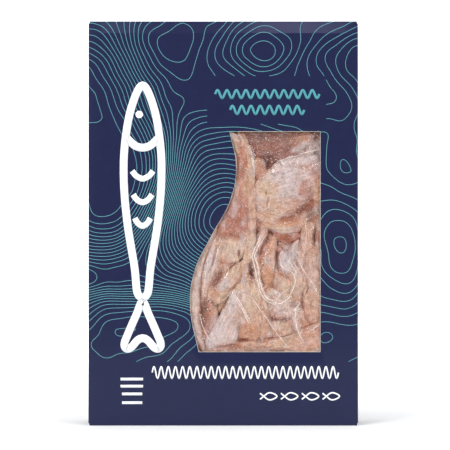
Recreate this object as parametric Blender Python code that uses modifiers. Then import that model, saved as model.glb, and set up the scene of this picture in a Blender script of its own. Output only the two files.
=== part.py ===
"""A shut folding carton with a die-cut window, and the vacuum bag of salted fish pieces that fills it.

Metres, +Z up. The origin is at the middle of the base, and the printed front faces -Y.
The carton is one sheet of board: a front with a lid at each end, two sides and a back, folded from
panel to panel. The bag is one closed pillow with a thin seal round its rim.
"""

import math

import bmesh
import bpy
from mathutils import Matrix, Vector

# The carton, outside.
WIDTH = 0.160
HEIGHT = 0.240
DEPTH = 0.028
BOARD = 0.0005  # thickness of the folding boxboard
CREASE = 0.0008  # outer radius of a fold
CREASE_STEPS = 3
FOLD_ANGLE = 40.0  # sharper turns than this, in degrees, are rounded folds
PLAY = 0.0003  # gap between layers that lie on each other

# The folds at each end.
SHOULDER = 0.0075  # height of the scored strip along the top of the front
SHOULDER_LEAN = 0.0012  # how far that strip leans back
LID_INSET = 0.0006  # the lids stop this short of the sides
TUCK = 0.016  # the flap that a lid tucks in behind the back
TUCK_TAPER = 0.004
DUST_FLAP = 0.022
DUST_TAPER = 0.003
GLUE_FLAP = 0.013

# The window in the front: straight at the top, right and bottom, and an S-shaped left side.
WINDOW_TOP = 0.1745
WINDOW_BOTTOM = 0.0436
WINDOW_RIGHT = 0.0577
WINDOW_LEFT = (  # x and z down the S, from the top corner by the neck and the belly to the bottom corner
    (0.0037, WINDOW_TOP),
    (0.0075, 0.1530),
    (0.0040, 0.1337),
    (-0.0073, 0.1124),
    (-0.0174, 0.0910),
    (-0.0197, 0.0709),
    (-0.0147, WINDOW_BOTTOM),
)
CURVE_STEPS = 6
CUTTER_REACH = 0.004  # how far the cutter stands out on both sides of the board
WELD = 0.00001

# The bag: a front and a back sheet over the fish, meeting in a flat seal.
BAG_WIDTH = 0.152
BAG_HEIGHT = 0.228
BAG_FLOOR = 0.0020  # height of its lower edge, on the bottom dust flaps
BAG_SEAL = 0.0004  # half the thickness of the seal
BAG_SHOULDER = 0.020  # width of the rounded slope from the seal to the full depth
BAG_COLUMNS = 30
BAG_ROWS = 44
BAG_EASING = 2  # rounds of smoothing, as film bridges what is sharp under it
BAG_FRONT = DEPTH / 2 - BOARD - PLAY  # the furthest forward that a piece reaches
BAG_BACK = DEPTH / 2 - 2 * BOARD - 2 * PLAY
HOLLOW_FRONT = 0.0045  # how far the film sinks between the pieces
HOLLOW_BACK = 0.0025

# The larger pieces of fish under the front sheet: x and z of the middle, half length, half width, lean
# from upright in degrees, and how far each stands behind the window.
FRONT_PIECES = (
    (0.012, 0.142, 0.048, 0.009, 4.0, 0.0000),
    (0.002, 0.112, 0.022, 0.017, -18.0, 0.0004),
    (0.040, 0.136, 0.026, 0.020, 60.0, 0.0002),
    (0.036, 0.166, 0.016, 0.022, 90.0, 0.0030),
    (0.026, 0.098, 0.024, 0.007, -6.0, 0.0012),
    (0.050, 0.094, 0.026, 0.009, 8.0, 0.0006),
    (-0.010, 0.086, 0.028, 0.010, 28.0, 0.0010),
    (0.008, 0.062, 0.026, 0.014, 24.0, 0.0006),
    (0.044, 0.066, 0.024, 0.013, -20.0, 0.0004),
    (0.020, 0.042, 0.036, 0.010, 84.0, 0.0004),
    (-0.044, 0.150, 0.044, 0.020, -10.0, 0.0006),
    (-0.048, 0.078, 0.040, 0.022, 12.0, 0.0008),
    (-0.020, 0.190, 0.032, 0.018, 76.0, 0.0008),
    (0.036, 0.198, 0.030, 0.020, -70.0, 0.0010),
    (-0.038, 0.030, 0.030, 0.018, 80.0, 0.0010),
)
BACK_PIECES = (
    (-0.030, 0.170, 0.044, 0.026, 62.0, 0.0002),
    (0.036, 0.150, 0.048, 0.024, -14.0, 0.0000),
    (-0.036, 0.104, 0.046, 0.022, 18.0, 0.0004),
    (0.020, 0.082, 0.042, 0.022, -58.0, 0.0006),
    (-0.028, 0.042, 0.038, 0.022, 70.0, 0.0004),
    (0.044, 0.038, 0.030, 0.018, -80.0, 0.0006),
)

# Colours are linear.
INK_COLOUR = (0.031, 0.037, 0.091)
BOARD_ROUGHNESS = 0.40
FISH_COLOUR = (0.52, 0.33, 0.27)
FILM_ROUGHNESS = 0.25


def remove_everything():
    for obj in list(bpy.data.objects):
        bpy.data.objects.remove(obj, do_unlink=True)


def new_collection(name):
    collection = bpy.data.collections.new(name)
    bpy.context.scene.collection.children.link(collection)
    return collection


def new_material(name, colour, roughness):
    material = bpy.data.materials.new(name)
    material.use_nodes = True
    shader = material.node_tree.nodes["Principled BSDF"]
    shader.inputs["Base Color"].default_value = (*colour, 1.0)
    shader.inputs["Roughness"].default_value = roughness
    shader.inputs["Metallic"].default_value = 0.0
    return material


def new_object(name, mesh, collection):
    obj = bpy.data.objects.new(name, mesh)
    collection.objects.link(obj)
    return obj


def next_panel(bm, edges):
    """Extrudes a panel from one or more edges in a row, and returns the vertices of its far edge."""
    made = bmesh.ops.extrude_edge_only(bm, edges=edges)["geom"]
    return [item for item in made if isinstance(item, bmesh.types.BMVert)]


def edge_between(bm, first, second):
    """The edge whose two ends are nearest to these points."""

    def miss(edge):
        a, b = (vert.co for vert in edge.verts)
        straight = (a - Vector(first)).length + (b - Vector(second)).length
        crossed = (b - Vector(first)).length + (a - Vector(second)).length
        return min(straight, crossed)

    return min(bm.edges, key=miss)


def stand_up(bm):
    """Turns a sheet that lies in the XY plane upright into the XZ plane, its face to -Y."""
    upright = Matrix.Rotation(math.radians(90.0), 3, "X")
    bmesh.ops.rotate(bm, cent=(0.0, 0.0, 0.0), matrix=upright, verts=bm.verts)


def cut_across(bm, point, normal):
    everything = list(bm.verts) + list(bm.edges) + list(bm.faces)
    bmesh.ops.bisect_plane(bm, geom=everything, plane_co=point, plane_no=normal)


def front_panel(bm, side_low, side_high, lid_half):
    """The front and its shoulder, without the small squares at the corners where no panel joins."""
    bmesh.ops.create_grid(bm, x_segments=1, y_segments=1, size=0.5)
    bmesh.ops.scale(bm, vec=(WIDTH, HEIGHT, 1.0), verts=bm.verts)
    stand_up(bm)
    bmesh.ops.translate(bm, vec=(0.0, -DEPTH / 2, HEIGHT / 2), verts=bm.verts)
    for x in (-lid_half, lid_half):
        cut_across(bm, (x, 0.0, 0.0), (1.0, 0.0, 0.0))
    for z in (side_low, HEIGHT - SHOULDER, side_high):
        cut_across(bm, (0.0, 0.0, z), (0.0, 0.0, 1.0))
    corners = []
    for face in bm.faces:
        middle = face.calc_center_median()
        beyond_lid = abs(middle.x) > lid_half
        beyond_side = not side_low < middle.z < side_high
        if beyond_lid and beyond_side:
            corners.append(face)
    bmesh.ops.delete(bm, geom=corners, context="FACES")
    for vert in bm.verts:
        vert.co.y += max(0.0, vert.co.z - (HEIGHT - SHOULDER)) / SHOULDER * SHOULDER_LEAN


def carton_sheet():
    """The whole blank, folded up, as an open surface whose faces look outwards."""
    half = WIDTH / 2
    front = -DEPTH / 2
    back = DEPTH / 2
    inner_back = back - BOARD - PLAY
    low = BOARD + PLAY
    high = HEIGHT - BOARD - PLAY
    shoulder = HEIGHT - SHOULDER
    lid_half = half - LID_INSET
    high_front = front + (high - shoulder) / SHOULDER * SHOULDER_LEAN
    bm = bmesh.new()
    front_panel(bm, low, high, lid_half)

    # A lid at each end, hinged to the front, with a flap that tucks in behind the back panel.
    for z, hinge_y, inwards in ((0.0, front, 1.0), (HEIGHT, front + SHOULDER_LEAN, -1.0)):
        hinge = edge_between(bm, (-lid_half, hinge_y, z), (lid_half, hinge_y, z))
        for vert in next_panel(bm, [hinge]):
            vert.co.y = inner_back
        fold = edge_between(bm, (-lid_half, inner_back, z), (lid_half, inner_back, z))
        for vert in next_panel(bm, [fold]):
            vert.co.z += inwards * TUCK
            vert.co.x -= math.copysign(TUCK_TAPER, vert.co.x)

    # The sides, folded back from the front's upright edges, which bend at the shoulder. The right side
    # carries the back, and the left side a glue flap behind it.
    for x, side_back, reach in ((-half, inner_back, GLUE_FLAP), (half, back, -WIDTH)):
        lower = edge_between(bm, (x, front, low), (x, front, shoulder))
        upper = edge_between(bm, (x, front, shoulder), (x, high_front, high))
        for vert in next_panel(bm, [lower, upper]):
            vert.co.y = side_back
        lower = edge_between(bm, (x, side_back, low), (x, side_back, shoulder))
        upper = edge_between(bm, (x, side_back, shoulder), (x, side_back, high))
        for vert in next_panel(bm, [lower, upper]):
            vert.co.x = x + reach

        # Dust flaps close each end under the lids, clear of the front and of the tuck.
        for z, side_front in ((low, front), (high, high_front)):
            fold = edge_between(bm, (x, side_front, z), (x, side_back, z))
            for vert in next_panel(bm, [fold]):
                vert.co.x = x - math.copysign(DUST_FLAP, x)
                vert.co.y = max(front + BOARD + DUST_TAPER, min(inner_back - BOARD - DUST_TAPER, vert.co.y))
    bmesh.ops.recalc_face_normals(bm, faces=bm.faces)
    return bm


def window_cutter(collection):
    """A thick slab in the window's outline, which the board is cut with."""
    curve = bpy.data.curves.new("window_outline", "CURVE")
    curve.dimensions = "2D"
    curve.fill_mode = "BOTH"
    curve.extrude = CUTTER_REACH
    curve.resolution_u = CURVE_STEPS
    curve.render_resolution_u = CURVE_STEPS
    corners = ((WINDOW_RIGHT, WINDOW_BOTTOM), (WINDOW_RIGHT, WINDOW_TOP))
    outline = curve.splines.new("BEZIER")
    outline.bezier_points.add(len(WINDOW_LEFT) + len(corners) - 1)
    outline.use_cyclic_u = True
    for index, (x, z) in enumerate(WINDOW_LEFT + corners):
        point = outline.bezier_points[index]
        point.co = (x, z, 0.0)
        at_corner = index == 0 or index >= len(WINDOW_LEFT) - 1
        point.handle_left_type = "VECTOR" if at_corner else "AUTO"
        point.handle_right_type = "VECTOR" if at_corner else "AUTO"
    drawn = bpy.data.objects.new("window_outline", curve)
    collection.objects.link(drawn)
    drawn.rotation_euler = (math.radians(90.0), 0.0, 0.0)
    drawn.location = (0.0, -DEPTH / 2, 0.0)
    bpy.context.view_layer.update()
    evaluated = drawn.evaluated_get(bpy.context.evaluated_depsgraph_get())
    mesh = bpy.data.meshes.new_from_object(evaluated)
    bm = bmesh.new()
    bm.from_mesh(mesh)
    bmesh.ops.remove_doubles(bm, verts=bm.verts, dist=WELD)
    bmesh.ops.recalc_face_normals(bm, faces=bm.faces)
    bm.to_mesh(mesh)
    bm.free()
    cutter = new_object("window_cutter", mesh, collection)
    cutter.matrix_world = drawn.matrix_world.copy()
    cutter.hide_render = True
    cutter.display_type = "WIRE"
    bpy.data.objects.remove(drawn, do_unlink=True)
    return cutter


def make_carton(parts, cutters):
    bm = carton_sheet()
    mesh = bpy.data.meshes.new("carton")
    bm.to_mesh(mesh)
    bm.free()
    carton = new_object("carton", mesh, parts)
    folds = carton.modifiers.new("folds", "BEVEL")
    folds.limit_method = "ANGLE"
    folds.angle_limit = math.radians(FOLD_ANGLE)
    folds.width = CREASE
    folds.segments = CREASE_STEPS
    wall = carton.modifiers.new("wall", "SOLIDIFY")
    wall.thickness = BOARD
    wall.offset = -1.0
    wall.use_even_offset = True
    window = carton.modifiers.new("window", "BOOLEAN")
    window.operation = "DIFFERENCE"
    window.solver = "EXACT"
    window.object = window_cutter(cutters)
    carton.data.materials.append(new_material("coated_boxboard", INK_COLOUR, BOARD_ROUGHNESS))
    return carton


def piece_lift(x, z, pieces, hollow):
    """How far behind the window the film lies: on the nearest piece's rounded top, or in the hollow."""
    depth = hollow
    for middle_x, middle_z, half_length, half_width, lean, behind in pieces:
        turn = math.radians(lean)
        along = (z - middle_z) * math.cos(turn) + (x - middle_x) * math.sin(turn)
        across = (x - middle_x) * math.cos(turn) - (z - middle_z) * math.sin(turn)
        spread = (along / half_length) ** 4 + (across / half_width) ** 4
        if spread < 1.0:
            rounded = (1.0 - spread) ** 0.5
            depth = min(depth, behind + (hollow - behind) * (1.0 - rounded))
    return depth


def rim_rise(x, z):
    """From 0 at the seal to 1 where the bag has its full depth, as a quarter round."""
    to_edge = min(BAG_WIDTH / 2 - abs(x), z - BAG_FLOOR, BAG_FLOOR + BAG_HEIGHT - z)
    part = min(1.0, max(0.0, to_edge / BAG_SHOULDER))
    return math.sqrt(1.0 - (1.0 - part) ** 2)


def make_bag(parts):
    """Two sheets of one grid: each lies over its own pieces, and both meet in the seal."""
    bm = bmesh.new()
    bmesh.ops.create_grid(bm, x_segments=BAG_COLUMNS, y_segments=BAG_ROWS, size=0.5)
    bmesh.ops.scale(bm, vec=(BAG_WIDTH, BAG_HEIGHT, 1.0), verts=bm.verts)
    stand_up(bm)
    bmesh.ops.translate(bm, vec=(0.0, 0.0, BAG_FLOOR + BAG_HEIGHT / 2), verts=bm.verts)
    front_sheet = list(bm.verts)
    rim = [vert for vert in front_sheet if vert.is_boundary]
    made = bmesh.ops.extrude_face_region(bm, geom=list(bm.faces))["geom"]
    back_sheet = [item for item in made if isinstance(item, bmesh.types.BMVert)]
    sheets = (
        (front_sheet, -1.0, BAG_FRONT, FRONT_PIECES, HOLLOW_FRONT),
        (back_sheet, 1.0, BAG_BACK, BACK_PIECES, HOLLOW_BACK),
    )
    for sheet, side, reach, pieces, hollow in sheets:
        for vert in sheet:
            full = reach - piece_lift(vert.co.x, vert.co.z, pieces, hollow)
            rise = rim_rise(vert.co.x, vert.co.z)
            vert.co.y = side * (BAG_SEAL + (full - BAG_SEAL) * rise)
    seal_places = {tuple(vert.co.xz) for vert in rim}
    film = [vert for vert in bm.verts if tuple(vert.co.xz) not in seal_places]
    for _ in range(BAG_EASING):
        bmesh.ops.smooth_vert(bm, verts=film, factor=0.5, use_axis_y=True)
    bmesh.ops.recalc_face_normals(bm, faces=bm.faces)
    mesh = bpy.data.meshes.new("vacuum_bag")
    bm.to_mesh(mesh)
    bm.free()
    mesh.shade_smooth()
    bag = new_object("vacuum_bag", mesh, parts)
    bag.data.materials.append(new_material("fish_under_film", FISH_COLOUR, FILM_ROUGHNESS))
    return bag


def main():
    remove_everything()
    parts = new_collection("salted_fish_pack")
    cutters = new_collection("cutters")
    make_carton(parts, cutters)
    make_bag(parts)


main()
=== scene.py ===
# %% [markdown]
# # A shop pack of salted, dried fish
# A folding carton stands upright. It is printed navy blue with the contour lines of a sea chart, and a
# window is cut out of its front. Behind the window lies a clear vacuum bag full of pale fish pieces.
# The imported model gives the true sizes, so it is loaded first and everything is built onto it.

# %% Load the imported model
import math

import bmesh
import bpy
import numpy as np
from mathutils import Matrix, Vector, noise
from mathutils.bvhtree import BVHTree


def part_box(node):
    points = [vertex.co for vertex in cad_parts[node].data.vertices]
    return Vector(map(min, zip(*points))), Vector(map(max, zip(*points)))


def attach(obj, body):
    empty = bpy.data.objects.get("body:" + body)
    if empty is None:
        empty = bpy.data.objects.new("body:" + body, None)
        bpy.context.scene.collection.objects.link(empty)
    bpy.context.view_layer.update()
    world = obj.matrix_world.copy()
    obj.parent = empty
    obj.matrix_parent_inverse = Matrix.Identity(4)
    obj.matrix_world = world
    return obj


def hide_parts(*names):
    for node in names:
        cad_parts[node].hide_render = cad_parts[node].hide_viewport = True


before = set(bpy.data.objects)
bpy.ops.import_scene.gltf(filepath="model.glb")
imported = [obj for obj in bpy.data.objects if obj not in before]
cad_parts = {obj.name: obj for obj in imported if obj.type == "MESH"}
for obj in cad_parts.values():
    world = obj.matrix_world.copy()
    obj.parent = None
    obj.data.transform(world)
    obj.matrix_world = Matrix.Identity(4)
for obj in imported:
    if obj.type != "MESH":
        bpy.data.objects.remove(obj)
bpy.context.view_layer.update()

MM = 0.001
carton_low, carton_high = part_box("carton")
bag_low, bag_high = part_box("vacuum_bag")
WIDTH, DEPTH, HEIGHT = carton_high - carton_low
print(f"carton {WIDTH / MM:.0f} x {DEPTH / MM:.0f} x {HEIGHT / MM:.0f} mm, nodes {sorted(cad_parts)}")

# %% [markdown]
# ## Helpers for colours and materials
# Colours are picked in a paint program as sRGB hex values. Blender's sockets take linear light, so one
# function turns them. Another adds a node, sets it and links it, which keeps each material short to read.

# %% Colour and node helpers
def linear(hex_colour, alpha=1.0):
    """An sRGB hex colour as the linear RGBA that a shader takes."""
    channels = [int(hex_colour[i:i + 2], 16) / 255 for i in (1, 3, 5)]
    return (*[c / 12.92 if c <= 0.04045 else ((c + 0.055) / 1.055) ** 2.4 for c in channels], alpha)


def set_inputs(material, node, inputs):
    """Sets a node's inputs: each takes a value, or another node's output as a link."""
    for name, value in inputs.items():
        if isinstance(value, bpy.types.NodeSocket):
            material.node_tree.links.new(value, node.inputs[name])
        else:
            node.inputs[name].default_value = value


def add_node(material, kind, inputs=None, **settings):
    """Adds a node, with its properties as settings, and sets its inputs."""
    node = material.node_tree.nodes.new(kind)
    for name, value in settings.items():
        setattr(node, name, value)
    set_inputs(material, node, inputs or {})
    return node


def new_material(name):
    """A material with its Principled shader, both ready for more nodes."""
    material = bpy.data.materials.new(name)
    material.use_nodes = True
    return material, material.node_tree.nodes["Principled BSDF"]


def per_mm(count):
    """The scale of a noise with this many bumps to a millimetre, as Object coordinates are in metres."""
    return count / MM

# %% [markdown]
# Every piece is shaped in a bmesh, or drawn as a curve that is then turned into a mesh. These functions end
# both in the same way, as a mesh object that stands at the origin.

# %% Mesh helpers
def piece_from(bm, name, materials):
    """Ends a bmesh as a new piece of the object, made of these materials."""
    mesh = bpy.data.meshes.new(name)
    bm.to_mesh(mesh)
    bm.free()
    piece = bpy.data.objects.new(name, mesh)
    bpy.context.scene.collection.objects.link(piece)
    for material in materials:
        mesh.materials.append(material)
    return piece


def mesh_of(curve):
    """The mesh that a curve draws, with the curve taken away again."""
    drawn = bpy.data.objects.new(curve.name, curve)
    bpy.context.scene.collection.objects.link(drawn)
    mesh = bpy.data.meshes.new_from_object(drawn.evaluated_get(bpy.context.evaluated_depsgraph_get()))
    bpy.data.objects.remove(drawn)
    return mesh


def cleaned(mesh, merge_within):
    """A bmesh of a mesh, with its doubles merged and its faces pointing outwards."""
    bm = bmesh.new()
    bm.from_mesh(mesh)
    bmesh.ops.remove_doubles(bm, verts=bm.verts, dist=merge_within)
    bmesh.ops.recalc_face_normals(bm, faces=bm.faces)
    return bm


def everything(bm):
    """All of a bmesh's geometry, in the way that its cutting operator takes it."""
    return list(bm.verts) + list(bm.edges) + list(bm.faces)


def verts_in(geometry):
    """The vertices among the geometry that an operator gives back."""
    return [item for item in geometry if isinstance(item, bmesh.types.BMVert)]


def points_of(piece):
    """A piece's points, as rows of x, y and z in metres."""
    flat = np.empty(len(piece.data.vertices) * 3)
    piece.data.vertices.foreach_get("co", flat)
    return flat.reshape(-1, 3)

# %% [markdown]
# ## The board and its inks
# Cartons like this are cut from folding boxboard: wood pulp inside, with a smooth clay coating on the
# printed side. Blue ink covers the coating and a satin varnish covers the ink, so the colour is deep and
# the shine is soft and low. Where a knife cut the board, the pale pulp shows as a thin light edge.

# %% Materials of the carton
# Ink has little shine of its own, and the varnish over it is thin and satin.
VARNISHED_INK = {"Specular IOR Level": 0.16, "Coat Weight": 0.24, "Coat Roughness": 0.13}


def printed_boxboard(name, hex_colour, mottle):
    """Offset ink on coated boxboard: an even colour with a faint cloudiness, under satin varnish."""
    material, shader = new_material(name)
    place = add_node(material, "ShaderNodeTexCoord").outputs["Object"]
    clouds = add_node(material, "ShaderNodeTexNoise", {
        "Vector": place, "Scale": per_mm(0.16), "Detail": 3.0,  # clouds of ink, 6 mm apart
    }).outputs["Fac"]
    grain = add_node(material, "ShaderNodeTexNoise", {
        "Vector": place, "Scale": per_mm(0.9), "Detail": 2.0,  # the paper's grain, coarse enough to show
    }).outputs["Fac"]
    tone = add_node(material, "ShaderNodeMath", {0: clouds, 1: grain}, operation="ADD").outputs["Value"]
    shade = add_node(material, "ShaderNodeMapRange", {
        "Value": tone, "From Min": 0.7, "From Max": 1.3, "To Min": 1.0 - mottle, "To Max": 1.0 + mottle,
    }).outputs["Result"]
    colour = add_node(material, "ShaderNodeVectorMath", {
        0: linear(hex_colour)[:3], "Scale": shade,
    }, operation="SCALE")
    paper = add_node(material, "ShaderNodeBump", {"Height": clouds, "Strength": 0.05, "Distance": 0.2 * MM})
    set_inputs(material, shader, {
        "Base Color": colour.outputs["Vector"], "Roughness": 0.34, "Normal": paper.outputs["Normal"],
        **VARNISHED_INK,
    })
    return material


def raw_pulp(name):
    """The uncoated reverse and the cut edges of boxboard: cream, dull and slightly fibrous."""
    material, shader = new_material(name)
    place = add_node(material, "ShaderNodeTexCoord").outputs["Object"]
    fibres = add_node(material, "ShaderNodeTexNoise", {"Vector": place, "Scale": per_mm(1.2), "Detail": 4.0})
    colour = add_node(material, "ShaderNodeMix", {
        "Factor": fibres.outputs["Fac"], "A": linear("#E9E2D4"), "B": linear("#F7F3EA"),
    }, data_type="RGBA")
    set_inputs(material, shader, {"Base Color": colour.outputs["Result"], "Roughness": 0.9})
    return material


def plain_ink(name, hex_colour):
    """A spot colour printed over the blue, which is even all over."""
    material, shader = new_material(name)
    set_inputs(material, shader, {"Base Color": linear(hex_colour), "Roughness": 0.42, **VARNISHED_INK})
    return material


navy_board = printed_boxboard("navy offset ink on coated boxboard", "#1A2043", mottle=0.07)
pulp = raw_pulp("uncoated boxboard pulp")
line_ink = plain_ink("pale teal spot ink", "#68AFB4")
teal_ink = plain_ink("teal spot ink", "#4E9CA4")
white_ink = plain_ink("opaque white ink", "#FAFCFC")

# %% [markdown]
# ## The blank, laid out flat
# A carton starts as one flat sheet. The front is in the middle; to its right follow a side and the back,
# to its left a side and a glue flap, and above and below it a lid with a flap to tuck in. Working flat
# makes the print easy: everything is drawn on the sheet and folded up with it. X runs to the right, Y up
# the front, and the printed side looks up. Each fold is a bend of a small radius, and bending uses up
# sheet, so the places of the folds are worked out from the folded sizes.

# %% Where the folds lie
BOARD = 0.5 * MM  # thickness
PLAY = 0.3 * MM  # gap between layers that lie on each other
RADIUS = 0.6 * MM  # of a fold
SQUARE = math.pi / 2
BEND = RADIUS * SQUARE  # the length of sheet that one square fold takes up
SHOULDER = 7.5 * MM  # height of the scored strip along the top, which leans back
SHOULDER_LEAN = 1.2 * MM
TUCK = 16.0 * MM
TUCK_TAPER = 4.0 * MM
DUST_FLAP = 22.0 * MM
DUST_TAPER = 3.0 * MM
GLUE_FLAP = 13.0 * MM
INNER_DEPTH = DEPTH - BOARD - PLAY  # as far back as what lies behind the back panel


def folds_along(lengths):
    """Start and end of each square fold along panels of these folded lengths, and the last panel's end."""
    folds, place = [], lengths[0] - RADIUS
    for length in lengths[1:]:
        folds.append((place, place + BEND))
        place += BEND + length - 2 * RADIUS
    return folds, place + RADIUS


right_folds, right_end = folds_along((WIDTH / 2, DEPTH, WIDTH))
left_folds, left_end = folds_along((WIDTH / 2, INNER_DEPTH, GLUE_FLAP))
up_folds, up_end = folds_along((HEIGHT, INNER_DEPTH, TUCK))
down_folds, down_end = folds_along((0.0, INNER_DEPTH, TUCK))
dust_start = BOARD + PLAY + RADIUS  # the dust flaps' folds, from the folded ends
dust_end = BEND + DUST_FLAP - RADIUS
print(f"flat blank: {(right_end + left_end) / MM:.1f} x {(up_end + down_end) / MM:.1f} mm")

# %% [markdown]
# Each fold is the same move: what lies beyond the fold line is rolled over a small cylinder. A point keeps
# its height above the sheet, so the ink stays on top of the board and the inner face stays inside.

# %% The folding function
TOUCH = 1e-7  # m; a point this near to a line lies on it


def fold(points, beyond, start, direction, angle=SQUARE):
    """Rolls the chosen points downwards over a fold line. points are rows of x, y and height."""
    line, along = Vector(start), np.array(direction)
    distance = (points[:, :2] - np.array(line[:2])) @ along
    rolled = beyond & (distance > 0.0)
    turn = np.clip(distance / RADIUS, 0.0, angle)
    rest = np.clip(distance - RADIUS * angle, 0.0, None)
    radius = RADIUS + points[:, 2]
    outward = radius * np.sin(turn) + rest * np.cos(turn)
    height = radius * np.cos(turn) - RADIUS - rest * np.sin(turn)
    moved = points.copy()
    moved[:, :2] += np.outer(outward - distance, along)
    moved[:, 2] = height
    points[rolled] = moved[rolled]


def fold_up(flat):
    """Folds a flat print or board into the carton, from the outermost flaps inwards, and stands it up."""
    points = np.array(flat, float)
    x, y = flat[:, 0], flat[:, 1]
    in_column = np.abs(x) <= right_folds[0][0] + TOUCH
    points[:, 2] += panel_bow(x, y)
    for start, _ in reversed(up_folds):
        fold(points, in_column, (0.0, start, 0.0), (0.0, 1.0))
    for start, _ in reversed(down_folds):
        fold(points, in_column, (0.0, -start, 0.0), (0.0, -1.0))
    on_side = ~in_column & (x < right_folds[1][0] + TOUCH) & (x > -left_folds[1][0] - TOUCH)
    fold(points, on_side, (0.0, HEIGHT - dust_start, 0.0), (0.0, 1.0))
    fold(points, on_side, (0.0, dust_start, 0.0), (0.0, -1.0))
    for start, _ in reversed(right_folds):
        fold(points, ~in_column & (x > 0.0), (start, 0.0, 0.0), (1.0, 0.0))
    for start, _ in reversed(left_folds):
        fold(points, ~in_column & (x < 0.0), (-start, 0.0, 0.0), (-1.0, 0.0))
    upright = np.column_stack([points[:, 0], carton_low.y - points[:, 2], points[:, 1]])
    to_back = np.clip((carton_high.y - upright[:, 1]) / DEPTH, 0.0, 1.0)
    above = np.clip((upright[:, 2] - (HEIGHT - SHOULDER)) / SHOULDER, 0.0, 1.0)
    upright[:, 1] += SHOULDER_LEAN * above * to_back
    return upright


PANEL_BOW = 0.35 * MM


def panel_bow(x, y):
    """A full carton's large panels stand out a little in the middle."""
    up = np.clip(1.0 - ((y - HEIGHT / 2) / (HEIGHT / 2 - RADIUS)) ** 2, 0.0, 1.0)
    across_front = np.clip(1.0 - (x / right_folds[0][0]) ** 2, 0.0, 1.0)
    back_middle = (right_folds[1][1] + right_end) / 2
    across_back = np.clip(1.0 - ((x - back_middle) / (right_end - back_middle)) ** 2, 0.0, 1.0)
    return PANEL_BOW * up * (across_front + across_back)


def refold(piece):
    """Moves a piece's vertices from the flat sheet to their places on the folded carton."""
    piece.data.vertices.foreach_set("co", fold_up(points_of(piece)).ravel())
    piece.data.update()

# %% [markdown]
# The blank itself is a grid cut along every fold and every panel's edge. What lies outside the panels is
# deleted, the flaps' corners are drawn in, and the sheet is extruded downwards to its thickness.

# %% The board
FOLD_CUTS = 4  # strips across one fold
PANEL_CUT = 12.0 * MM
SCORE_HALF = 0.4 * MM  # half the width of the score under the shoulder


def cut_flat(bm, places, axis):
    """Cuts a flat sheet along straight lines at these places of one axis."""
    normal = Vector((0.0, 0.0, 0.0))
    normal[axis] = 1.0
    for place in places:
        bmesh.ops.bisect_plane(bm, geom=everything(bm), plane_co=normal * place, plane_no=normal)


def fold_cuts(folds, sign=1.0):
    """The lines that let a sheet bend: the start and end of each fold and some in between."""
    shares = [step / FOLD_CUTS for step in range(FOLD_CUTS + 1)]
    return [sign * (start + (end - start) * share) for start, end in folds for share in shares]


dust_folds_up = [(HEIGHT - dust_start, HEIGHT - dust_start + BEND)]
dust_folds_down = [(-dust_start, -dust_start + BEND)]
CUTS_X = fold_cuts(right_folds) + fold_cuts(left_folds, -1.0)
CUTS_Y = fold_cuts(up_folds) + fold_cuts(down_folds, -1.0)
CUTS_Y += fold_cuts(dust_folds_up) + fold_cuts(dust_folds_down, -1.0)
CUTS_Y += [HEIGHT - SHOULDER - SCORE_HALF, HEIGHT - SHOULDER, HEIGHT - SHOULDER + SCORE_HALF]


def is_board(x, y):
    """Whether the blank has board at a place of the flat layout."""
    in_column = abs(x) < right_folds[0][0]
    if in_column:
        return -down_end < y < up_end
    side_flat = right_folds[0][1] < x < right_folds[1][0] or left_folds[0][1] < -x < left_folds[1][0]
    if side_flat:
        return dust_start - dust_end < y < HEIGHT - dust_start + dust_end
    if x > right_folds[1][1]:
        return 0.0 < y < HEIGHT and x < right_end
    return dust_start < y < HEIGHT - dust_start and -left_end < x


def draw_in(vert):
    """Narrows the free ends of the tuck and dust flaps."""
    x, y = vert.co.x, vert.co.y
    for end, start in ((up_end, up_folds[1][1]), (down_end, down_folds[1][1])):
        reached = ((y if end is up_end else -y) - start) / (end - start)
        if reached > 0.0:
            vert.co.x -= math.copysign(min(1.0, reached) * TUCK_TAPER * abs(x) / right_folds[0][0], x)
            return
    over = max(y - (HEIGHT - dust_start), dust_start - y) - BEND
    if over > 0.0 and right_folds[0][1] - TOUCH < abs(x) < right_folds[1][0] + TOUCH:
        middle = math.copysign((right_folds[0][1] + right_folds[1][0]) / 2, x)
        vert.co.x += (middle - x) * min(1.0, over / (DUST_FLAP - RADIUS)) * 2 * DUST_TAPER / DEPTH


bm = bmesh.new()
bmesh.ops.create_grid(bm, x_segments=1, y_segments=1, size=0.5)
bmesh.ops.scale(bm, vec=(right_end + left_end, up_end + down_end, 1.0), verts=bm.verts)
bmesh.ops.translate(bm, vec=((right_end - left_end) / 2, (up_end - down_end) / 2, 0.0), verts=bm.verts)
cut_flat(bm, CUTS_X + list(np.arange(-left_end, right_end, PANEL_CUT)[1:]), 0)
cut_flat(bm, CUTS_Y + [0.0, HEIGHT] + list(np.arange(0.0, HEIGHT, PANEL_CUT)[1:]), 1)
cut_flat(bm, [dust_start - dust_end, HEIGHT - dust_start + dust_end], 1)
waste = [face for face in bm.faces if not is_board(*face.calc_center_median().xy)]
bmesh.ops.delete(bm, geom=waste, context="FACES")
for vert in bm.verts:
    draw_in(vert)
under = bmesh.ops.extrude_face_region(bm, geom=list(bm.faces))["geom"]
bmesh.ops.translate(bm, vec=(0.0, 0.0, -BOARD), verts=verts_in(under))
bmesh.ops.recalc_face_normals(bm, faces=bm.faces)
carton = piece_from(bm, "folded_carton", [navy_board, pulp])
print(f"blank: {len(carton.data.polygons)} faces")

# %% [markdown]
# The window is die-cut: straight at the top, the right and the bottom, with a left side that swings in to
# a neck and out to a belly. Its outline is a Bezier curve with a few handles, filled and given a depth,
# and a Boolean cuts it out of the flat sheet. Every face that isn't on the printed side is bare pulp.

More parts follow.
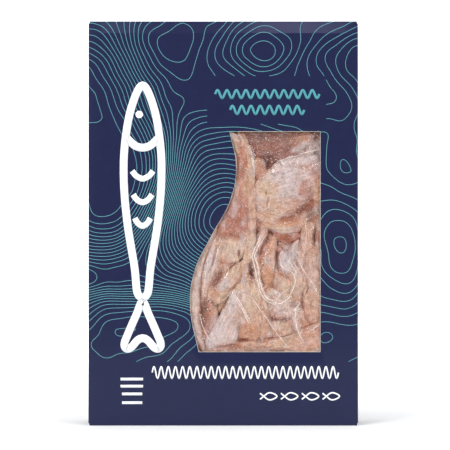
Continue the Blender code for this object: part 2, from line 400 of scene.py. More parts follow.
# %% The window
CUT_CRUSH = 0.13 * MM  # the die presses the board's edge round and bares the pulp
WINDOW_TOP = 174.3 * MM
WINDOW_BOTTOM = 43.8 * MM
WINDOW_RIGHT = 57.5 * MM
WINDOW_LEFT = [  # x and y down the left side in mm, from its top corner by the neck and the belly
    (3.9, WINDOW_TOP / MM), (7.8, 153.0), (4.3, 133.7), (-7.0, 112.4), (-17.1, 91.0), (-19.5, 70.9),
    (-14.5, WINDOW_BOTTOM / MM),
]
OUTLINE_STEPS = 12
SLAB_HALF_DEPTH = 3.0 * MM
TOP_SIDE = -0.01 * MM  # what lies above this height of the flat sheet is on its printed side
SHARP_ABOVE = math.radians(32.0)


def window_slab():
    """A slab in the outline of the window, lying on the flat sheet."""
    curve = bpy.data.curves.new("window_outline", "CURVE")
    curve.dimensions, curve.fill_mode = "2D", "BOTH"
    curve.extrude = SLAB_HALF_DEPTH
    curve.resolution_u = curve.render_resolution_u = OUTLINE_STEPS
    corners = [(WINDOW_RIGHT / MM, WINDOW_BOTTOM / MM), (WINDOW_RIGHT / MM, WINDOW_TOP / MM)]
    outline = curve.splines.new("BEZIER")
    outline.bezier_points.add(len(WINDOW_LEFT) + len(corners) - 1)
    outline.use_cyclic_u = True
    for index, (x, y) in enumerate(WINDOW_LEFT + corners):
        point = outline.bezier_points[index]
        point.co = (x * MM, y * MM, 0.0)
        at_corner = index == 0 or index >= len(WINDOW_LEFT) - 1
        point.handle_left_type = point.handle_right_type = "VECTOR" if at_corner else "AUTO"
    return piece_from(cleaned(mesh_of(curve), 0.01 * MM), "window_slab", [])


def apply_modifiers(piece):
    """Bakes a piece's modifiers into its mesh."""
    evaluated = piece.evaluated_get(bpy.context.evaluated_depsgraph_get())
    mesh = bpy.data.meshes.new_from_object(evaluated)
    piece.modifiers.clear()
    piece.data = mesh


def is_rim(edge):
    """Whether an edge of the flat carton is the printed side's edge of the window."""
    inside = all(abs(v.co.x) < right_folds[0][0] - MM and MM < v.co.y < HEIGHT - MM for v in edge.verts)
    on_top = all(v.co.z > TOP_SIDE for v in edge.verts)
    return inside and on_top and len(edge.link_faces) == 2 and edge.calc_face_angle() > math.radians(80.0)


slab = window_slab()
cut = carton.modifiers.new("die_cut", "BOOLEAN")
cut.operation, cut.solver, cut.object = "DIFFERENCE", "EXACT", slab
apply_modifiers(carton)
bpy.data.objects.remove(slab)
bm = bmesh.new()
bm.from_mesh(carton.data)
rim = [edge for edge in bm.edges if is_rim(edge)]
bmesh.ops.bevel(bm, geom=rim, offset=CUT_CRUSH, segments=2, profile=0.5, affect="EDGES", material=1)
bm.to_mesh(carton.data)
bm.free()
for face in carton.data.polygons:
    on_top = all(carton.data.vertices[i].co.z > TOP_SIDE for i in face.vertices)
    face.material_index = 0 if on_top else 1
refold(carton)
carton.data.shade_smooth()
carton.data.set_sharp_from_angle(angle=SHARP_ABOVE)
print(f"carton: {len(carton.data.polygons)} faces after the window is cut")

# %% [markdown]
# ## The sea chart
# The pattern on the blue is a chart of the sea bed: a line wherever the bottom has the same depth. It is
# made as a chart maker does it. A relief of hills and hollows is laid out over the flat sheet, and level
# planes slice it. Steep slopes give close lines and flat ground gives wide loops, and no lines cross.

# %% The relief and its level lines
CHART_GRID = 2.0  # mm
LEVEL_STEP = 0.88
# Hills and hollows: place on the flat sheet and reach across and up in mm, height in levels.
HILLS = [
    (-2, 124, 22, 27, 15.0), (-74, 212, 22, 18, -5.0), (-34, 222, 20, 18, 5.5), (-80, 168, 18, 22, 4.0),
    (66, 218, 20, 14, 4.5), (28, 222, 16, 12, -4.0), (78, 168, 14, 26, -4.5), (74, 100, 13, 24, 4.5),
    (-66, 52, 26, 18, -6.0), (-22, 70, 18, 20, -5.0), (64, 52, 24, 16, -3.5), (2, 204, 14, 9, 2.5),
    (96, 190, 22, 34, 4.0), (98, 90, 20, 30, -4.0), (-98, 110, 22, 30, 6.0), (-100, 200, 24, 26, -5.0),
    (140, 190, 34, 26, 8.0), (150, 110, 26, 36, -7.0), (200, 150, 34, 30, 12.0), (240, 210, 26, 24, -6.0),
    (250, 90, 30, 34, 7.0), (190, 70, 36, 22, -6.0), (215, 226, 22, 14, 4.0), (0, 268, 60, 24, 4.0),
    (-60, 262, 24, 20, -4.0), (60, 262, 20, 22, -3.0), (0, -24, 60, 20, 3.0),
]
# A long steep bank bends round a bay: middle and radius in mm, rise in levels, and half its breadth in mm.
BANK_MIDDLE, BANK_RADIUS, BANK_RISE, BANK_BREADTH = (-88.0, 152.0), 52.0, 10.0, 17.0
BANK_FADES, BANK_LOSS = 184.0, 0.6  # above this height it loses this share of its rise
# A second slope crosses the lower left: height and tilt of its line, drop, half breadth, and where it ends.
SHELF, SHELF_TILT, SHELF_DROP, SHELF_BREADTH, SHELF_END = 72.0, 0.1, 4.5, 8.0, 4.0
FADE = 9.0  # mm
UNEVEN = ((33.0, 1.5, 4.7), (13.0, 0.5, 9.1))  # size of the bumps in mm, height in levels, layer of the noise


def soft_step(distance, height):
    """Rises smoothly from nothing to a height where the distance, in mm, passes zero."""
    return height / (1.0 + math.exp(-distance / FADE))


def chart_level(x, y):
    """Height of the relief, in levels, over a place of the flat sheet in mm."""
    from_bank = math.hypot(x - BANK_MIDDLE[0], y - BANK_MIDDLE[1]) - BANK_RADIUS
    height = BANK_RISE * math.tanh(from_bank / BANK_BREADTH) * (1.0 - soft_step(y - BANK_FADES, BANK_LOSS))
    below = 1.0 - math.tanh((y - SHELF + SHELF_TILT * x) / SHELF_BREADTH)
    height -= soft_step(SHELF_END - x, SHELF_DROP * below)
    for hill_x, hill_y, reach_x, reach_y, rise in HILLS:
        height += rise * math.exp(-0.5 * (((x - hill_x) / reach_x) ** 2 + ((y - hill_y) / reach_y) ** 2))
    for size, rise, layer in UNEVEN:
        height += rise * noise.noise(Vector((x / size, y / size, layer)))
    return height


def chained(edges):
    """The lines that edges form, end to end."""
    # Dictionaries stand in for sets, because they keep their order and so give the same lines in every run.
    left_over = {edge: True for edge in edges}
    ends = {vert: True for edge in left_over for vert in edge.verts
            if sum(other in left_over for other in vert.link_edges) == 1}
    lines = []
    while left_over:
        vert = next(iter(ends)) if ends else next(iter(left_over)).verts[0]
        ends.pop(vert, None)
        line = [vert.co.xy.copy()]
        while step := next((edge for edge in vert.link_edges if edge in left_over), None):
            left_over.pop(step)
            vert = step.other_vert(vert)
            line.append(vert.co.xy.copy())
        ends.pop(vert, None)
        lines.append(line)
    return lines


sheet_size = ((right_end + left_end) / MM, (up_end + down_end) / MM)
sheet_middle = ((right_end - left_end) / 2 / MM, (up_end - down_end) / 2 / MM)
bm = bmesh.new()
columns, rows = (round(length / CHART_GRID) for length in sheet_size)
bmesh.ops.create_grid(bm, x_segments=columns, y_segments=rows, size=0.5)
bmesh.ops.scale(bm, vec=(*sheet_size, 1.0), verts=bm.verts)
bmesh.ops.translate(bm, vec=(*sheet_middle, 0.0), verts=bm.verts)
for vert in bm.verts:
    vert.co.z = chart_level(vert.co.x, vert.co.y)
lowest, highest = min(v.co.z for v in bm.verts), max(v.co.z for v in bm.verts)
level_lines = []
for level in np.arange(math.ceil(lowest), highest, LEVEL_STEP):
    plane = {"plane_co": (0, 0, level), "plane_no": (0, 0, 1), "dist": 1e-5}
    cut = bmesh.ops.bisect_plane(bm, geom=everything(bm), **plane)["geom_cut"]
    level_lines += chained(item for item in cut if isinstance(item, bmesh.types.BMEdge))
bm.free()
print(f"{len(level_lines)} level lines between {lowest:.0f} and {highest:.0f}")

# %% [markdown]
# The lines stop where the print leaves room: at the window, round the teal waves, and above the plain band
# at the foot. A line is walked point by point, and where it enters or leaves an open place the crossing is
# found by halving the step.

# %% Clipping the lines
# Places and lengths on the flat sheet are in mm from here on.
CLEAR_FOOT = 38.0
TEAL_BLOCK = (-9.6, 61.0, 178.8, 207.3)  # left, right, bottom and top
ROOM_FOR_INK = 0.4
SHORTEST_LINE = 13.0
HALVINGS = 10
FRONT_EDGE = right_folds[0][0] / MM
LID_EDGE = up_folds[1][0] / MM
SIDE_TOP = (HEIGHT - dust_start) / MM
slab = window_slab()
window_tree = BVHTree.FromObject(slab, bpy.context.evaluated_depsgraph_get())
bpy.data.objects.remove(slab)


def has_lines(x, y):
    """Whether the chart's lines are printed at a place of the flat sheet, in mm."""
    if y < CLEAR_FOOT or x < -left_folds[1][0] / MM or x > right_end / MM - ROOM_FOR_INK:
        return False
    if abs(x) > FRONT_EDGE:
        top = SIDE_TOP if x < right_folds[1][0] / MM else HEIGHT / MM - ROOM_FOR_INK
        return y < top
    if y > LID_EDGE or TEAL_BLOCK[0] < x < TEAL_BLOCK[1] and TEAL_BLOCK[2] < y < TEAL_BLOCK[3]:
        return False
    return window_tree.ray_cast(Vector((x * MM, y * MM, 0.01)), Vector((0.0, 0.0, -1.0)))[0] is None


def clipped(line):
    """The printed stretches of a line."""
    stretches, current, was_inside = [], [], False
    for index, point in enumerate(line):
        inside = has_lines(*point)
        if index and inside != was_inside:
            low, high = line[index - 1], point
            for _ in range(HALVINGS):
                middle = (low + high) / 2
                if has_lines(*middle) == was_inside:
                    low = middle
                else:
                    high = middle
            current.append((low + high) / 2)
            if was_inside:
                stretches.append(current)
                current = []
        if inside:
            current.append(point)
        was_inside = inside
    return stretches + [current] if current else stretches


def eased(line, passes=2):
    """A line with the small kinks of the grid taken out; a loop stays closed."""
    points = np.array([tuple(point) for point in line])
    loop = len(points) > 3 and np.allclose(points[0], points[-1])
    for _ in range(passes):
        before = np.roll(points[:-1], 1, axis=0)[:1] if loop else points[:1]
        after = points[1:2] if loop else points[-1:]
        padded = np.vstack([before, points, after])
        smooth = (padded[:-2] + 2 * padded[1:-1] + padded[2:]) / 4
        if not loop:
            smooth[0], smooth[-1] = points[0], points[-1]
        points = smooth
    return [Vector(point) for point in points]


def opened(line):
    """A closed line, turned so that it starts at a place that isn't printed, if it has one."""
    if (line[0] - line[-1]).length > 1e-6:
        return line
    start = next((index for index, point in enumerate(line) if not has_lines(*point)), 0)
    return line[start:] + line[1:start + 1]


def line_length(line):
    """Length of a line, in mm."""
    return sum((b - a).length for a, b in zip(line, line[1:]))


stretches = [stretch for line in level_lines for stretch in clipped(opened(eased(line)))]
chart_lines = [stretch for stretch in stretches if line_length(stretch) > SHORTEST_LINE]
print(f"{len(chart_lines)} printed stretches")

# %% [markdown]
# A printed line is a curve with a flat, rectangular section, turned into a mesh. It is cut along the folds,
# so that it bends exactly where the board bends, and then folded up by the same function.

# %% Ink strokes
INK_LIFT = 0.06  # how far ink stands up; on paper it is thinner, but it has to clear the board
LINE_LIFT = 0.03
INK_ROOT = 0.01  # how deep ink reaches into the board, so that no gap shows
LINE_WIDTH = 0.25


def ink_section(width, lift):
    """The rectangular section of a stroke, as a curve object."""
    section = bpy.data.curves.new("ink_section", "CURVE")
    section.dimensions = "2D"
    corners = section.splines.new("POLY")
    corners.points.add(3)
    outline = ((-0.5, -INK_ROOT), (0.5, -INK_ROOT), (0.5, lift), (-0.5, lift))
    for corner, (x, y) in zip(corners.points, outline):
        corner.co = (x * width * MM, y * MM, 0.0, 1.0)
    corners.use_cyclic_u = True
    section_object = bpy.data.objects.new("ink_section", section)
    bpy.context.scene.collection.objects.link(section_object)
    return section_object


def ink_strokes(name, lines, width, material, lift=INK_LIFT):
    """Flat strokes of ink along lines on the flat sheet, folded up with the board."""
    section = ink_section(width, lift)
    curve = bpy.data.curves.new(name, "CURVE")
    curve.dimensions, curve.twist_mode = "3D", "Z_UP"
    curve.bevel_mode, curve.bevel_object, curve.use_fill_caps = "OBJECT", section, True
    for line in lines:
        closed = (Vector(line[0]) - Vector(line[-1])).length < 1e-4
        spline = curve.splines.new("POLY")
        points = line[:-1] if closed else line
        spline.points.add(len(points) - 1)
        spline.use_cyclic_u = closed
        for point, (x, y) in zip(spline.points, points):
            point.co = (x * MM, y * MM, 0.0, 1.0)
    bm = bmesh.new()
    bm.from_mesh(mesh_of(curve))
    bpy.data.objects.remove(section)
    return ink_piece(bm, name, material)


def ink_piece(bm, name, material):
    """Cuts flat ink along the folds, folds it up with the board and makes it a piece."""
    bmesh.ops.remove_doubles(bm, verts=bm.verts, dist=0.001 * MM)
    cut_flat(bm, CUTS_X, 0)
    cut_flat(bm, CUTS_Y, 1)
    bmesh.ops.recalc_face_normals(bm, faces=bm.faces)
    piece = piece_from(bm, name, [material])
    refold(piece)
    print(f"{name}: {len(piece.data.polygons)} faces")
    return piece


chart = ink_strokes("chart_lines", chart_lines, LINE_WIDTH, line_ink, lift=LINE_LIFT)

# %% [markdown]
# ## The simple printed shapes
# A tall fish in broad white strokes stands beside the window, two bands of teal waves lie above it, and thin
# white waves and a small school of fish fill the foot. Each is a few points that a smooth path runs through.

# %% Smooth paths
def smooth_path(points, steps=8, closed=False):
    """A Catmull-Rom curve through the points, which may have any number of values each."""
    points = np.array(points, float)
    count = len(points)
    spans = count if closed else count - 1
    path = []
    for span in range(spans):
        places = [span + k for k in (-1, 0, 1, 2)]
        near = points[[place % count if closed else min(max(place, 0), count - 1) for place in places]]
        for step in range(steps):
            t = step / steps
            path.append(0.5 * (
                2 * near[1] + (near[2] - near[0]) * t
                + (2 * near[0] - 5 * near[1] + 4 * near[2] - near[3]) * t ** 2
                + (3 * near[1] - near[0] - 3 * near[2] + near[3]) * t ** 3
            ))
    path.append(points[0] if closed else points[-1])
    return np.array(path)


def mirrored(points, middle):
    """A half outline and its mirror image about an upright line, as one closed outline."""
    return list(points) + [(2 * middle - x, y) for x, y in reversed(points) if abs(x - middle) > 1e-6]

# %% [markdown]
# The tall fish is drawn as half outlines of its body and tail, mirrored about its middle. A gill and three
# ribs are open strokes, and the eye is a flat disc.

# %% The tall fish
FISH_MIDDLE = -47.8
FISH_STROKE, RIB_STROKE = 4.6, 3.4
EYE_X, EYE_Y, EYE_RADIUS = -49.8, 184.5, 2.2
DISC_DEPTH = INK_LIFT + 0.02
body = mirrored([
    (FISH_MIDDLE, 201.8), (-54.6, 188), (-58.4, 166), (-58.9, 144), (-56.8, 120), (-52.6, 94), (-50.6, 78),
], FISH_MIDDLE)
tail = mirrored([
    (FISH_MIDDLE, 73.5), (-51.6, 65.5), (-56.2, 55.0), (-58.6, 48.6), (-57.4, 45.7), (-54.6, 46.4),
    (-50.8, 50.6), (FISH_MIDDLE, 51.8),
], FISH_MIDDLE)
gill = [(-57.6, 171), (-52.6, 166.2), (FISH_MIDDLE, 164.8), (-43.0, 166.2), (-38.0, 171)]
ribs = [[
    (FISH_MIDDLE - half, y + 3.0), (FISH_MIDDLE - 0.6 * half, y), (FISH_MIDDLE, y - 1.6),
    (FISH_MIDDLE + 0.6 * half, y), (FISH_MIDDLE + half, y + 3.0),
] for half, y in ((6.2, 148.0), (5.6, 134.0), (4.6, 120.0))]
outlines = [smooth_path(body, closed=True), smooth_path(tail, closed=True), smooth_path(gill)]
tall_fish = ink_strokes("tall_fish", [list(map(Vector, path)) for path in outlines], FISH_STROKE, white_ink)
rib_paths = [list(map(Vector, smooth_path(rib))) for rib in ribs]
fish_ribs = ink_strokes("tall_fish_ribs", rib_paths, RIB_STROKE, white_ink)

bm = bmesh.new()
disc = {"radius1": EYE_RADIUS * MM, "radius2": EYE_RADIUS * MM, "depth": DISC_DEPTH * MM}
made = bmesh.ops.create_cone(bm, cap_ends=True, segments=24, **disc)["verts"]
bmesh.ops.translate(bm, vec=(EYE_X * MM, EYE_Y * MM, (INK_LIFT - DISC_DEPTH / 2) * MM), verts=made)
fish_eye = ink_piece(bm, "tall_fish_eye", white_ink)

# %% [markdown]
# The bands over the window and at the foot are rows of waves, each a sine curve. The school is one small fish
# drawn four times in a single stroke, and four plain bars fill the corner.

# %% Waves, bars and the small school
WAVE_STEPS = 16
TEAL_STROKE, FOOT_STROKE, BAR_STROKE = 1.4, 0.85, 1.6
SMALL_FISH = [  # in lengths of the fish, from its middle
    (-0.5, 0.18), (-0.3, 0.02), (0.0, -0.2), (0.3, -0.16), (0.5, 0.0), (0.3, 0.16), (0.0, 0.2), (-0.3, -0.02),
    (-0.5, -0.18),
]


def wave(x_from, x_to, y_low, y_high, period):
    """A row of waves as a smooth line, with whole waves of about this period."""
    count = max(1, round((x_to - x_from) / period))
    period = (x_to - x_from) / count
    middle, reach = (y_low + y_high) / 2, (y_high - y_low) / 2
    line = []
    for step in range(count * WAVE_STEPS + 1):
        height = math.sin(2 * math.pi * step / WAVE_STEPS)
        line.append(Vector((x_from + step * period / WAVE_STEPS, middle + reach * height)))
    return line


def small_fish(x, y, length):
    """A small fish in one stroke, looking to the right."""
    return [Vector((x + px * length, y + py * length)) for px, py in smooth_path(SMALL_FISH, steps=6)]


teal_rows = [wave(-4.8, 57.0, 194.2, 198.9, 5.6), wave(4.1, 48.0, 184.7, 189.6, 5.6)]
teal_waves = ink_strokes("teal_waves", teal_rows, TEAL_STROKE, teal_ink)
foot = ink_strokes("white_waves", [wave(-42.1, 68.3, 28.0, 35.0, 4.2)], FOOT_STROKE, white_ink)
school = [small_fish(x, 17.4, 10.0) for x in (26.8, 39.2, 51.6, 63.9)]
small_school = ink_strokes("small_school", school, FOOT_STROKE, white_ink)
long_bars = [[Vector((-60.9, y)), Vector((-47.5, y))] for y in (27.6, 23.4)]
short_bars = [[Vector((-60.0, y)), Vector((-48.0, y))] for y in (18.8, 13.6)]
foot_bars = ink_strokes("foot_bars", long_bars + short_bars, BAR_STROKE, white_ink)
ink_pieces = [chart, tall_fish, fish_ribs, fish_eye, teal_waves, foot, small_school, foot_bars]

# %% [markdown]
# ## Salted, dried fish
# Dried white fish is cut in pieces that keep their long muscle fibres: strips, flakes and torn chunks. Salt
# draws the water out, so the flesh is opaque and pale, cream to lilac, with rose and amber where it was near
# the skin or the blood. Each piece is a sphere drawn out along a path of its own, flattened against the film,
# and then torn and grooved along its fibres. The tones are painted onto its points, because they follow the
# piece, and stains, painted shade and hollows that run over several pieces are painted and pressed in
# afterwards.

# %% Tones of the flesh
FLESH_TONES = {name: np.array(linear(colour)[:3]) for name, colour in {
    "lilac": "#CCB1A7", "cream": "#CCAC92", "butter": "#CAA680", "beige": "#C4987F", "pink": "#BF8A70",
    "rose": "#AF6E58", "amber": "#BB815C", "rust": "#9D5738", "mauve": "#865B4F", "brown": "#74401F",
    "raw": "#915B4B", "pale": "#C9B7B5",
}.items()}
GLASS_PLANE = carton_low.y / MM + 0.6  # the film's level in the window, just behind the board, in mm

# Name, depth behind the film, half thickness, tones along the path, and rows of x, z and half width in mm.
WINDOW_PIECES = [
    ("top_crumble", 2.4, 3.5, "raw mauve raw mauve", [
        (2.8, 172.9, 7.1), (20.6, 168.5, 11.6), (33.0, 168.5, 13.3), (45.4, 168.5, 13.3),
        (61.4, 170.3, 13.3),
    ]),
    ("behind_neck", 1.4, 3.0, "beige pink beige pink", [
        (21.0, 160.5, 4.1), (21.6, 149.0, 5.2), (22.3, 136.5, 5.3), (22.3, 123.2, 6.6),
        (22.7, 115.2, 6.6),
    ]),
    ("behind_right", 1.9, 3.0, "rose beige pink beige", [
        (54.3, 132.1, 8.0), (54.3, 116.1, 9.8), (55.2, 100.1, 9.8), (55.2, 82.3, 8.9),
    ]),
    ("behind_centre", 1.3, 3.0, "rose pink beige pink", [
        (25.0, 116.1, 7.1), (24.1, 102.7, 8.0), (23.2, 89.4, 8.9), (25.0, 77.9, 7.1),
    ]),
    ("behind_hook", 1.1, 3.0, "pink lilac beige lilac", [
        (38.3, 112.5, 8.0), (40.1, 98.3, 9.8), (40.1, 84.1, 10.7), (38.3, 71.6, 9.8),
    ]),
    ("behind_edge_low", 0.7, 3.2, "pink beige pink beige pink", [
        (-3.4, 125.0, 5.3), (-11.4, 110.7, 7.1), (-19.4, 98.3, 8.0), (-23.0, 82.3, 8.0),
        (-23.0, 66.3, 8.0), (-20.3, 49.4, 8.0), (-16.8, 36.1, 5.3),
    ]),
    ("behind_edge_high", 0.8, 3.2, "beige pink pink", [
        (1.0, 175.6, 5.3), (3.7, 160.5, 4.4), (2.8, 142.7, 5.3), (-1.7, 125.0, 5.3),
    ]),
    ("behind_left", 1, 3.0, "beige pink beige cream", [
        (-1.7, 110.7, 7.1), (-3.4, 96.5, 9.8), (-6.1, 82.3, 11.6), (-7.0, 71.6, 9.8),
    ]),
    ("behind_middle", 0.9, 3.0, "beige cream beige beige", [
        (12.6, 98.3, 8.0), (12.6, 85.0, 9.8), (15.2, 71.6, 11.6), (17.9, 55.7, 10.7),
    ]),
    ("behind_low_left", 1.7, 3.0, "mauve rose mauve pink", [
        (-11.4, 76.1, 6.2), (-9.7, 62.8, 8.0), (-8.8, 50.3, 8.0), (-6.1, 41.4, 6.2),
    ]),
    ("behind_low", 1, 3.0, "beige lilac beige beige", [
        (33.0, 78.8, 9.8), (36.5, 67.2, 12.4), (38.3, 55.7, 12.4), (40.1, 46.8, 9.8),
    ]),
    ("behind_low_right", 1.3, 3.0, "beige pink beige beige", [
        (52.5, 85.0, 8.0), (53.4, 71.6, 9.8), (54.3, 58.3, 9.8), (55.2, 45.0, 8.9),
    ]),
    ("behind_foot", 1.3, 3.0, "pink beige beige beige", [
        (-16.8, 41.4, 4.4), (5.4, 45.0, 7.1), (27.7, 45.0, 8.0), (49.9, 45.0, 8.0),
        (67.6, 45.0, 7.1),
    ]),
    ("long_strip", 0.5, 4.5, "beige pink rose pink rose rose cream cream", [
        (9.0, 175.6, 5.0), (11.5, 165.0, 5.3), (12.6, 155.2, 5.7), (11.9, 142.7, 7.1),
        (9.7, 130.3, 9.4), (7.4, 117.9, 11.9), (6.2, 107.2, 11.2), (5.6, 99.2, 8.2),
        (6.2, 93.9, 4.1),
    ]),
    ("strip_ridge", 0.3, 2.2, "cream cream beige beige cream beige", [
        (12.1, 171.4, 1.4), (14.9, 163.5, 2.2), (16.4, 155.6, 2.4), (16.6, 145.7, 2.4),
        (16.8, 134.8, 2.5), (17.2, 123.9, 2.7), (17.0, 113.1, 3.0), (15.4, 104.2, 3.2),
        (14.1, 96.3, 2.8), (13.5, 89.4, 1.4),
    ]),
    ("neck_flake", 0.25, 1.6, "pale cream cream", [
        (3.6, 174.3, 1.2), (7.1, 170.4, 2.4), (8.5, 164.4, 2.0), (8.9, 160.5, 0.8),
    ]),
    ("upper_chunk", 0.3, 6.0, "beige lilac cream lilac pale lilac rose beige", [
        (12.1, 133.2, 6.9), (17.6, 134.4, 9.5), (23.7, 135.8, 12.1), (29.7, 137.2, 15.6),
        (35.6, 138.6, 18.8), (41.5, 140.1, 20.9), (47.5, 141.7, 20.4), (53.4, 143.3, 19.8),
        (59.3, 144.9, 19.4), (66.2, 146.7, 18.4),
    ]),
    ("chunk_base", 0.36, 4.0, "beige beige cream lilac beige amber", [
        (19.2, 126.3, 4.5), (24.7, 123.9, 6.1), (30.7, 122.2, 7.9), (36.6, 121.6, 8.7),
        (42.5, 122.4, 7.5), (47.5, 124.9, 4.9), (50.9, 127.9, 2.4),
    ]),
    ("tongue", 0.6, 2.6, "pink beige beige beige amber pink", [
        (30.9, 114.2, 1.3), (29.3, 106.2, 2.8), (27.3, 97.5, 3.7), (26.4, 89.6, 4.0),
        (26.6, 84.3, 2.7), (27.3, 80.7, 0.9),
    ]),
    ("small_fold", 0.8, 2.2, "beige pink rose", [
        (25.0, 120.5, 3.7), (24.3, 115.2, 2.7), (22.3, 109.0, 2.1), (20.6, 101.9, 1.4),
    ]),
    ("under_lip", 0.9, 2.2, "rose rust rose rust", [
        (29.7, 114.5, 1.8), (34.6, 111.5, 2.8), (40.5, 111.3, 3.0), (46.7, 114.1, 2.0),
    ]),
    ("hook_foot", 0.8, 2.4, "cream lilac cream", [
        (24.1, 82.3, 2.2), (28.4, 77.3, 4.5), (36.0, 74.9, 4.9), (41.6, 77.3, 2.7),
    ]),
    ("pale_blob", 0.4, 2.8, "lilac pale pale lilac", [
        (43.6, 108.7, 3.4), (39.8, 103.1, 5.4), (37.6, 96.3, 5.1), (40.0, 89.2, 2.9),
    ]),
    ("hook_inside", 0.8, 2.4, "beige cream lilac", [
        (32.6, 93.0, 2.2), (34.9, 85.2, 4.3), (36.0, 77.3, 4.5), (34.9, 70.6, 2.2),
    ]),
    ("right_strip", 0.5, 2.4, "beige beige lilac lilac", [
        (50.0, 121.6, 3.8), (50.2, 114.2, 4.3), (49.6, 107.5, 3.8), (48.5, 101.7, 2.7),
    ]),
    ("right_edge", 1, 3.0, "beige beige pink", [
        (57.5, 118.7, 2.9), (57.9, 109.8, 3.8), (58.6, 100.8, 3.8),
    ]),
    ("right_middle", 0.8, 3.0, "beige lilac beige pink lilac", [
        (54.3, 107.5, 4.0), (53.7, 99.7, 5.4), (53.9, 91.9, 6.0), (55.9, 84.0, 6.3),
        (58.4, 76.9, 4.5),
    ]),
    ("right_slab", 0.5, 3.0, "beige beige pink beige", [
        (55.5, 84.3, 3.8), (54.8, 76.2, 6.3), (54.1, 68.4, 7.2), (55.2, 61.7, 6.0),
    ]),
    ("broad_fillet", 0.8, 3.0, "lilac beige beige lilac", [
        (43.8, 93.0, 2.2), (44.7, 84.0, 4.9), (43.8, 76.2, 6.0), (41.4, 68.4, 6.3),
        (39.4, 61.7, 4.0),
    ]),
    ("right_fold", 0.4, 1.8, "lilac pale lilac", [
        (44.3, 75.1, 1.6), (42.5, 66.1, 2.5), (44.3, 57.2, 2.2), (46.1, 51.6, 1.1),
    ]),
    ("middle_flake", 0.5, 2.4, "cream cream beige beige amber", [
        (11.6, 79.3, 1.6), (15.0, 70.6, 4.3), (16.8, 62.8, 5.8), (16.1, 56.1, 7.4),
        (16.1, 50.9, 6.7), (16.5, 47.8, 4.0),
    ]),
    ("middle_strip", 0.7, 2.4, "pink cream cream beige beige", [
        (14.7, 91.9, 2.0), (17.0, 82.9, 3.8), (21.2, 72.9, 4.5), (23.9, 63.9, 5.4),
        (23.9, 56.1, 6.0), (24.4, 49.6, 5.1),
    ]),
    ("loose_flake", 0.5, 2.6, "cream pale cream beige", [
        (32.6, 74.0, 3.4), (34.9, 66.1, 6.0), (35.5, 58.3, 6.3), (34.9, 51.6, 4.0),
    ]),
    ("white_wedge", 0.35, 2.6, "lilac cream lilac lilac lilac", [
        (6.2, 81.4, 0.9), (5.6, 75.1, 2.9), (5.1, 68.4, 5.1), (3.6, 61.7, 6.9),
        (0.9, 55.0, 8.1), (-2.0, 48.2, 9.6), (-2.3, 42.7, 10.1),
    ]),
    ("slant_3", 0.5, 2.2, "beige cream lilac lilac cream beige amber", [
        (-7.0, 112.0, 2.2), (-11.0, 104.2, 2.6), (-14.6, 94.1, 2.7), (-16.8, 82.9, 3.1),
        (-17.0, 72.9, 3.5), (-15.9, 61.7, 3.2), (-13.7, 51.6, 2.7), (-11.4, 43.2, 2.2),
    ]),
    ("slant_1", 0.4, 2.0, "beige pale lilac beige", [
        (-2.9, 114.2, 1.1), (-6.6, 103.5, 2.0), (-9.4, 91.9, 2.5), (-11.0, 79.6, 2.3),
        (-12.4, 71.5, 1.3),
    ]),
    ("slant_2", 0.5, 2.0, "cream pale cream", [
        (-0.7, 109.8, 1.0), (-3.2, 101.0, 1.6), (-6.1, 92.3, 1.7), (-8.5, 84.9, 1.0),
    ]),
    ("slant_4", 0.4, 2.2, "cream cream cream beige beige", [
        (9.8, 97.5, 1.5), (8.5, 94.1, 2.7), (5.8, 89.3, 3.6), (1.7, 84.0, 3.9),
        (-2.5, 79.2, 3.5), (-6.3, 75.5, 1.7),
    ]),
    ("slant_5", 0.6, 2.2, "beige pink amber amber", [
        (10.9, 91.9, 0.9), (9.4, 87.6, 1.5), (6.2, 82.7, 1.7), (2.9, 78.7, 1.9),
        (-0.2, 74.6, 1.6),
    ]),
    ("speckled", 0.65, 2.6, "rose pink rose rose", [
        (-9.4, 73.3, 2.5), (-8.3, 66.1, 5.8), (-8.5, 58.3, 5.6), (-10.1, 50.5, 3.4),
    ]),
    ("bottom_slab", 0.3, 3.2, "beige cream beige lilac", [
        (21.5, 45.8, 2.2), (30.4, 45.8, 6.0), (41.6, 47.1, 8.3), (52.8, 49.9, 10.3),
        (65.1, 53.3, 11.2),
    ]),
    ("bottom_strip", 0.5, 2.6, "rust amber beige beige", [
        (-11.2, 43.5, 0.9), (-4.3, 44.9, 2.2), (5.8, 46.2, 3.4), (14.7, 46.9, 3.8),
        (23.7, 45.8, 3.4),
    ]),
]
# Places where the pieces leave a pocket: x, z, reach along and across, lean in degrees, and depth, in mm.
HOLLOWS = [
    (53.9, 113.0, 3.6, 1.2, 8, 2.2), (9.4, 102.4, 2.2, 0.7, 4, 2.0), (16.8, 90.8, 5.1, 1.5, -6, 2.6),
    (10.3, 50.0, 0.8, 2.5, 0, 1.6), (-8.7, 65.0, 7.8, 2.7, 8, 1.0), (12.3, 50.9, 0.8, 2.9, 0, 2.4),
    (25.9, 155.4, 4.0, 1.6, -20, 1.6), (28.1, 159.1, 1.6, 3.4, 0, 1.4), (20.0, 146.5, 0.7, 1.2, 0, 1.2),
    (26.9, 137.6, 0.6, 1.8, 10, 0.7), (26.1, 131.3, 1.4, 0.6, 0, 0.5), (55.4, 170.6, 1.4, 1.6, 0, 1.8),
    (-3.6, 86.3, 4.5, 1.7, 28, 1.2), (42.7, 70.6, 1.1, 2.7, 0, 0.8),
]
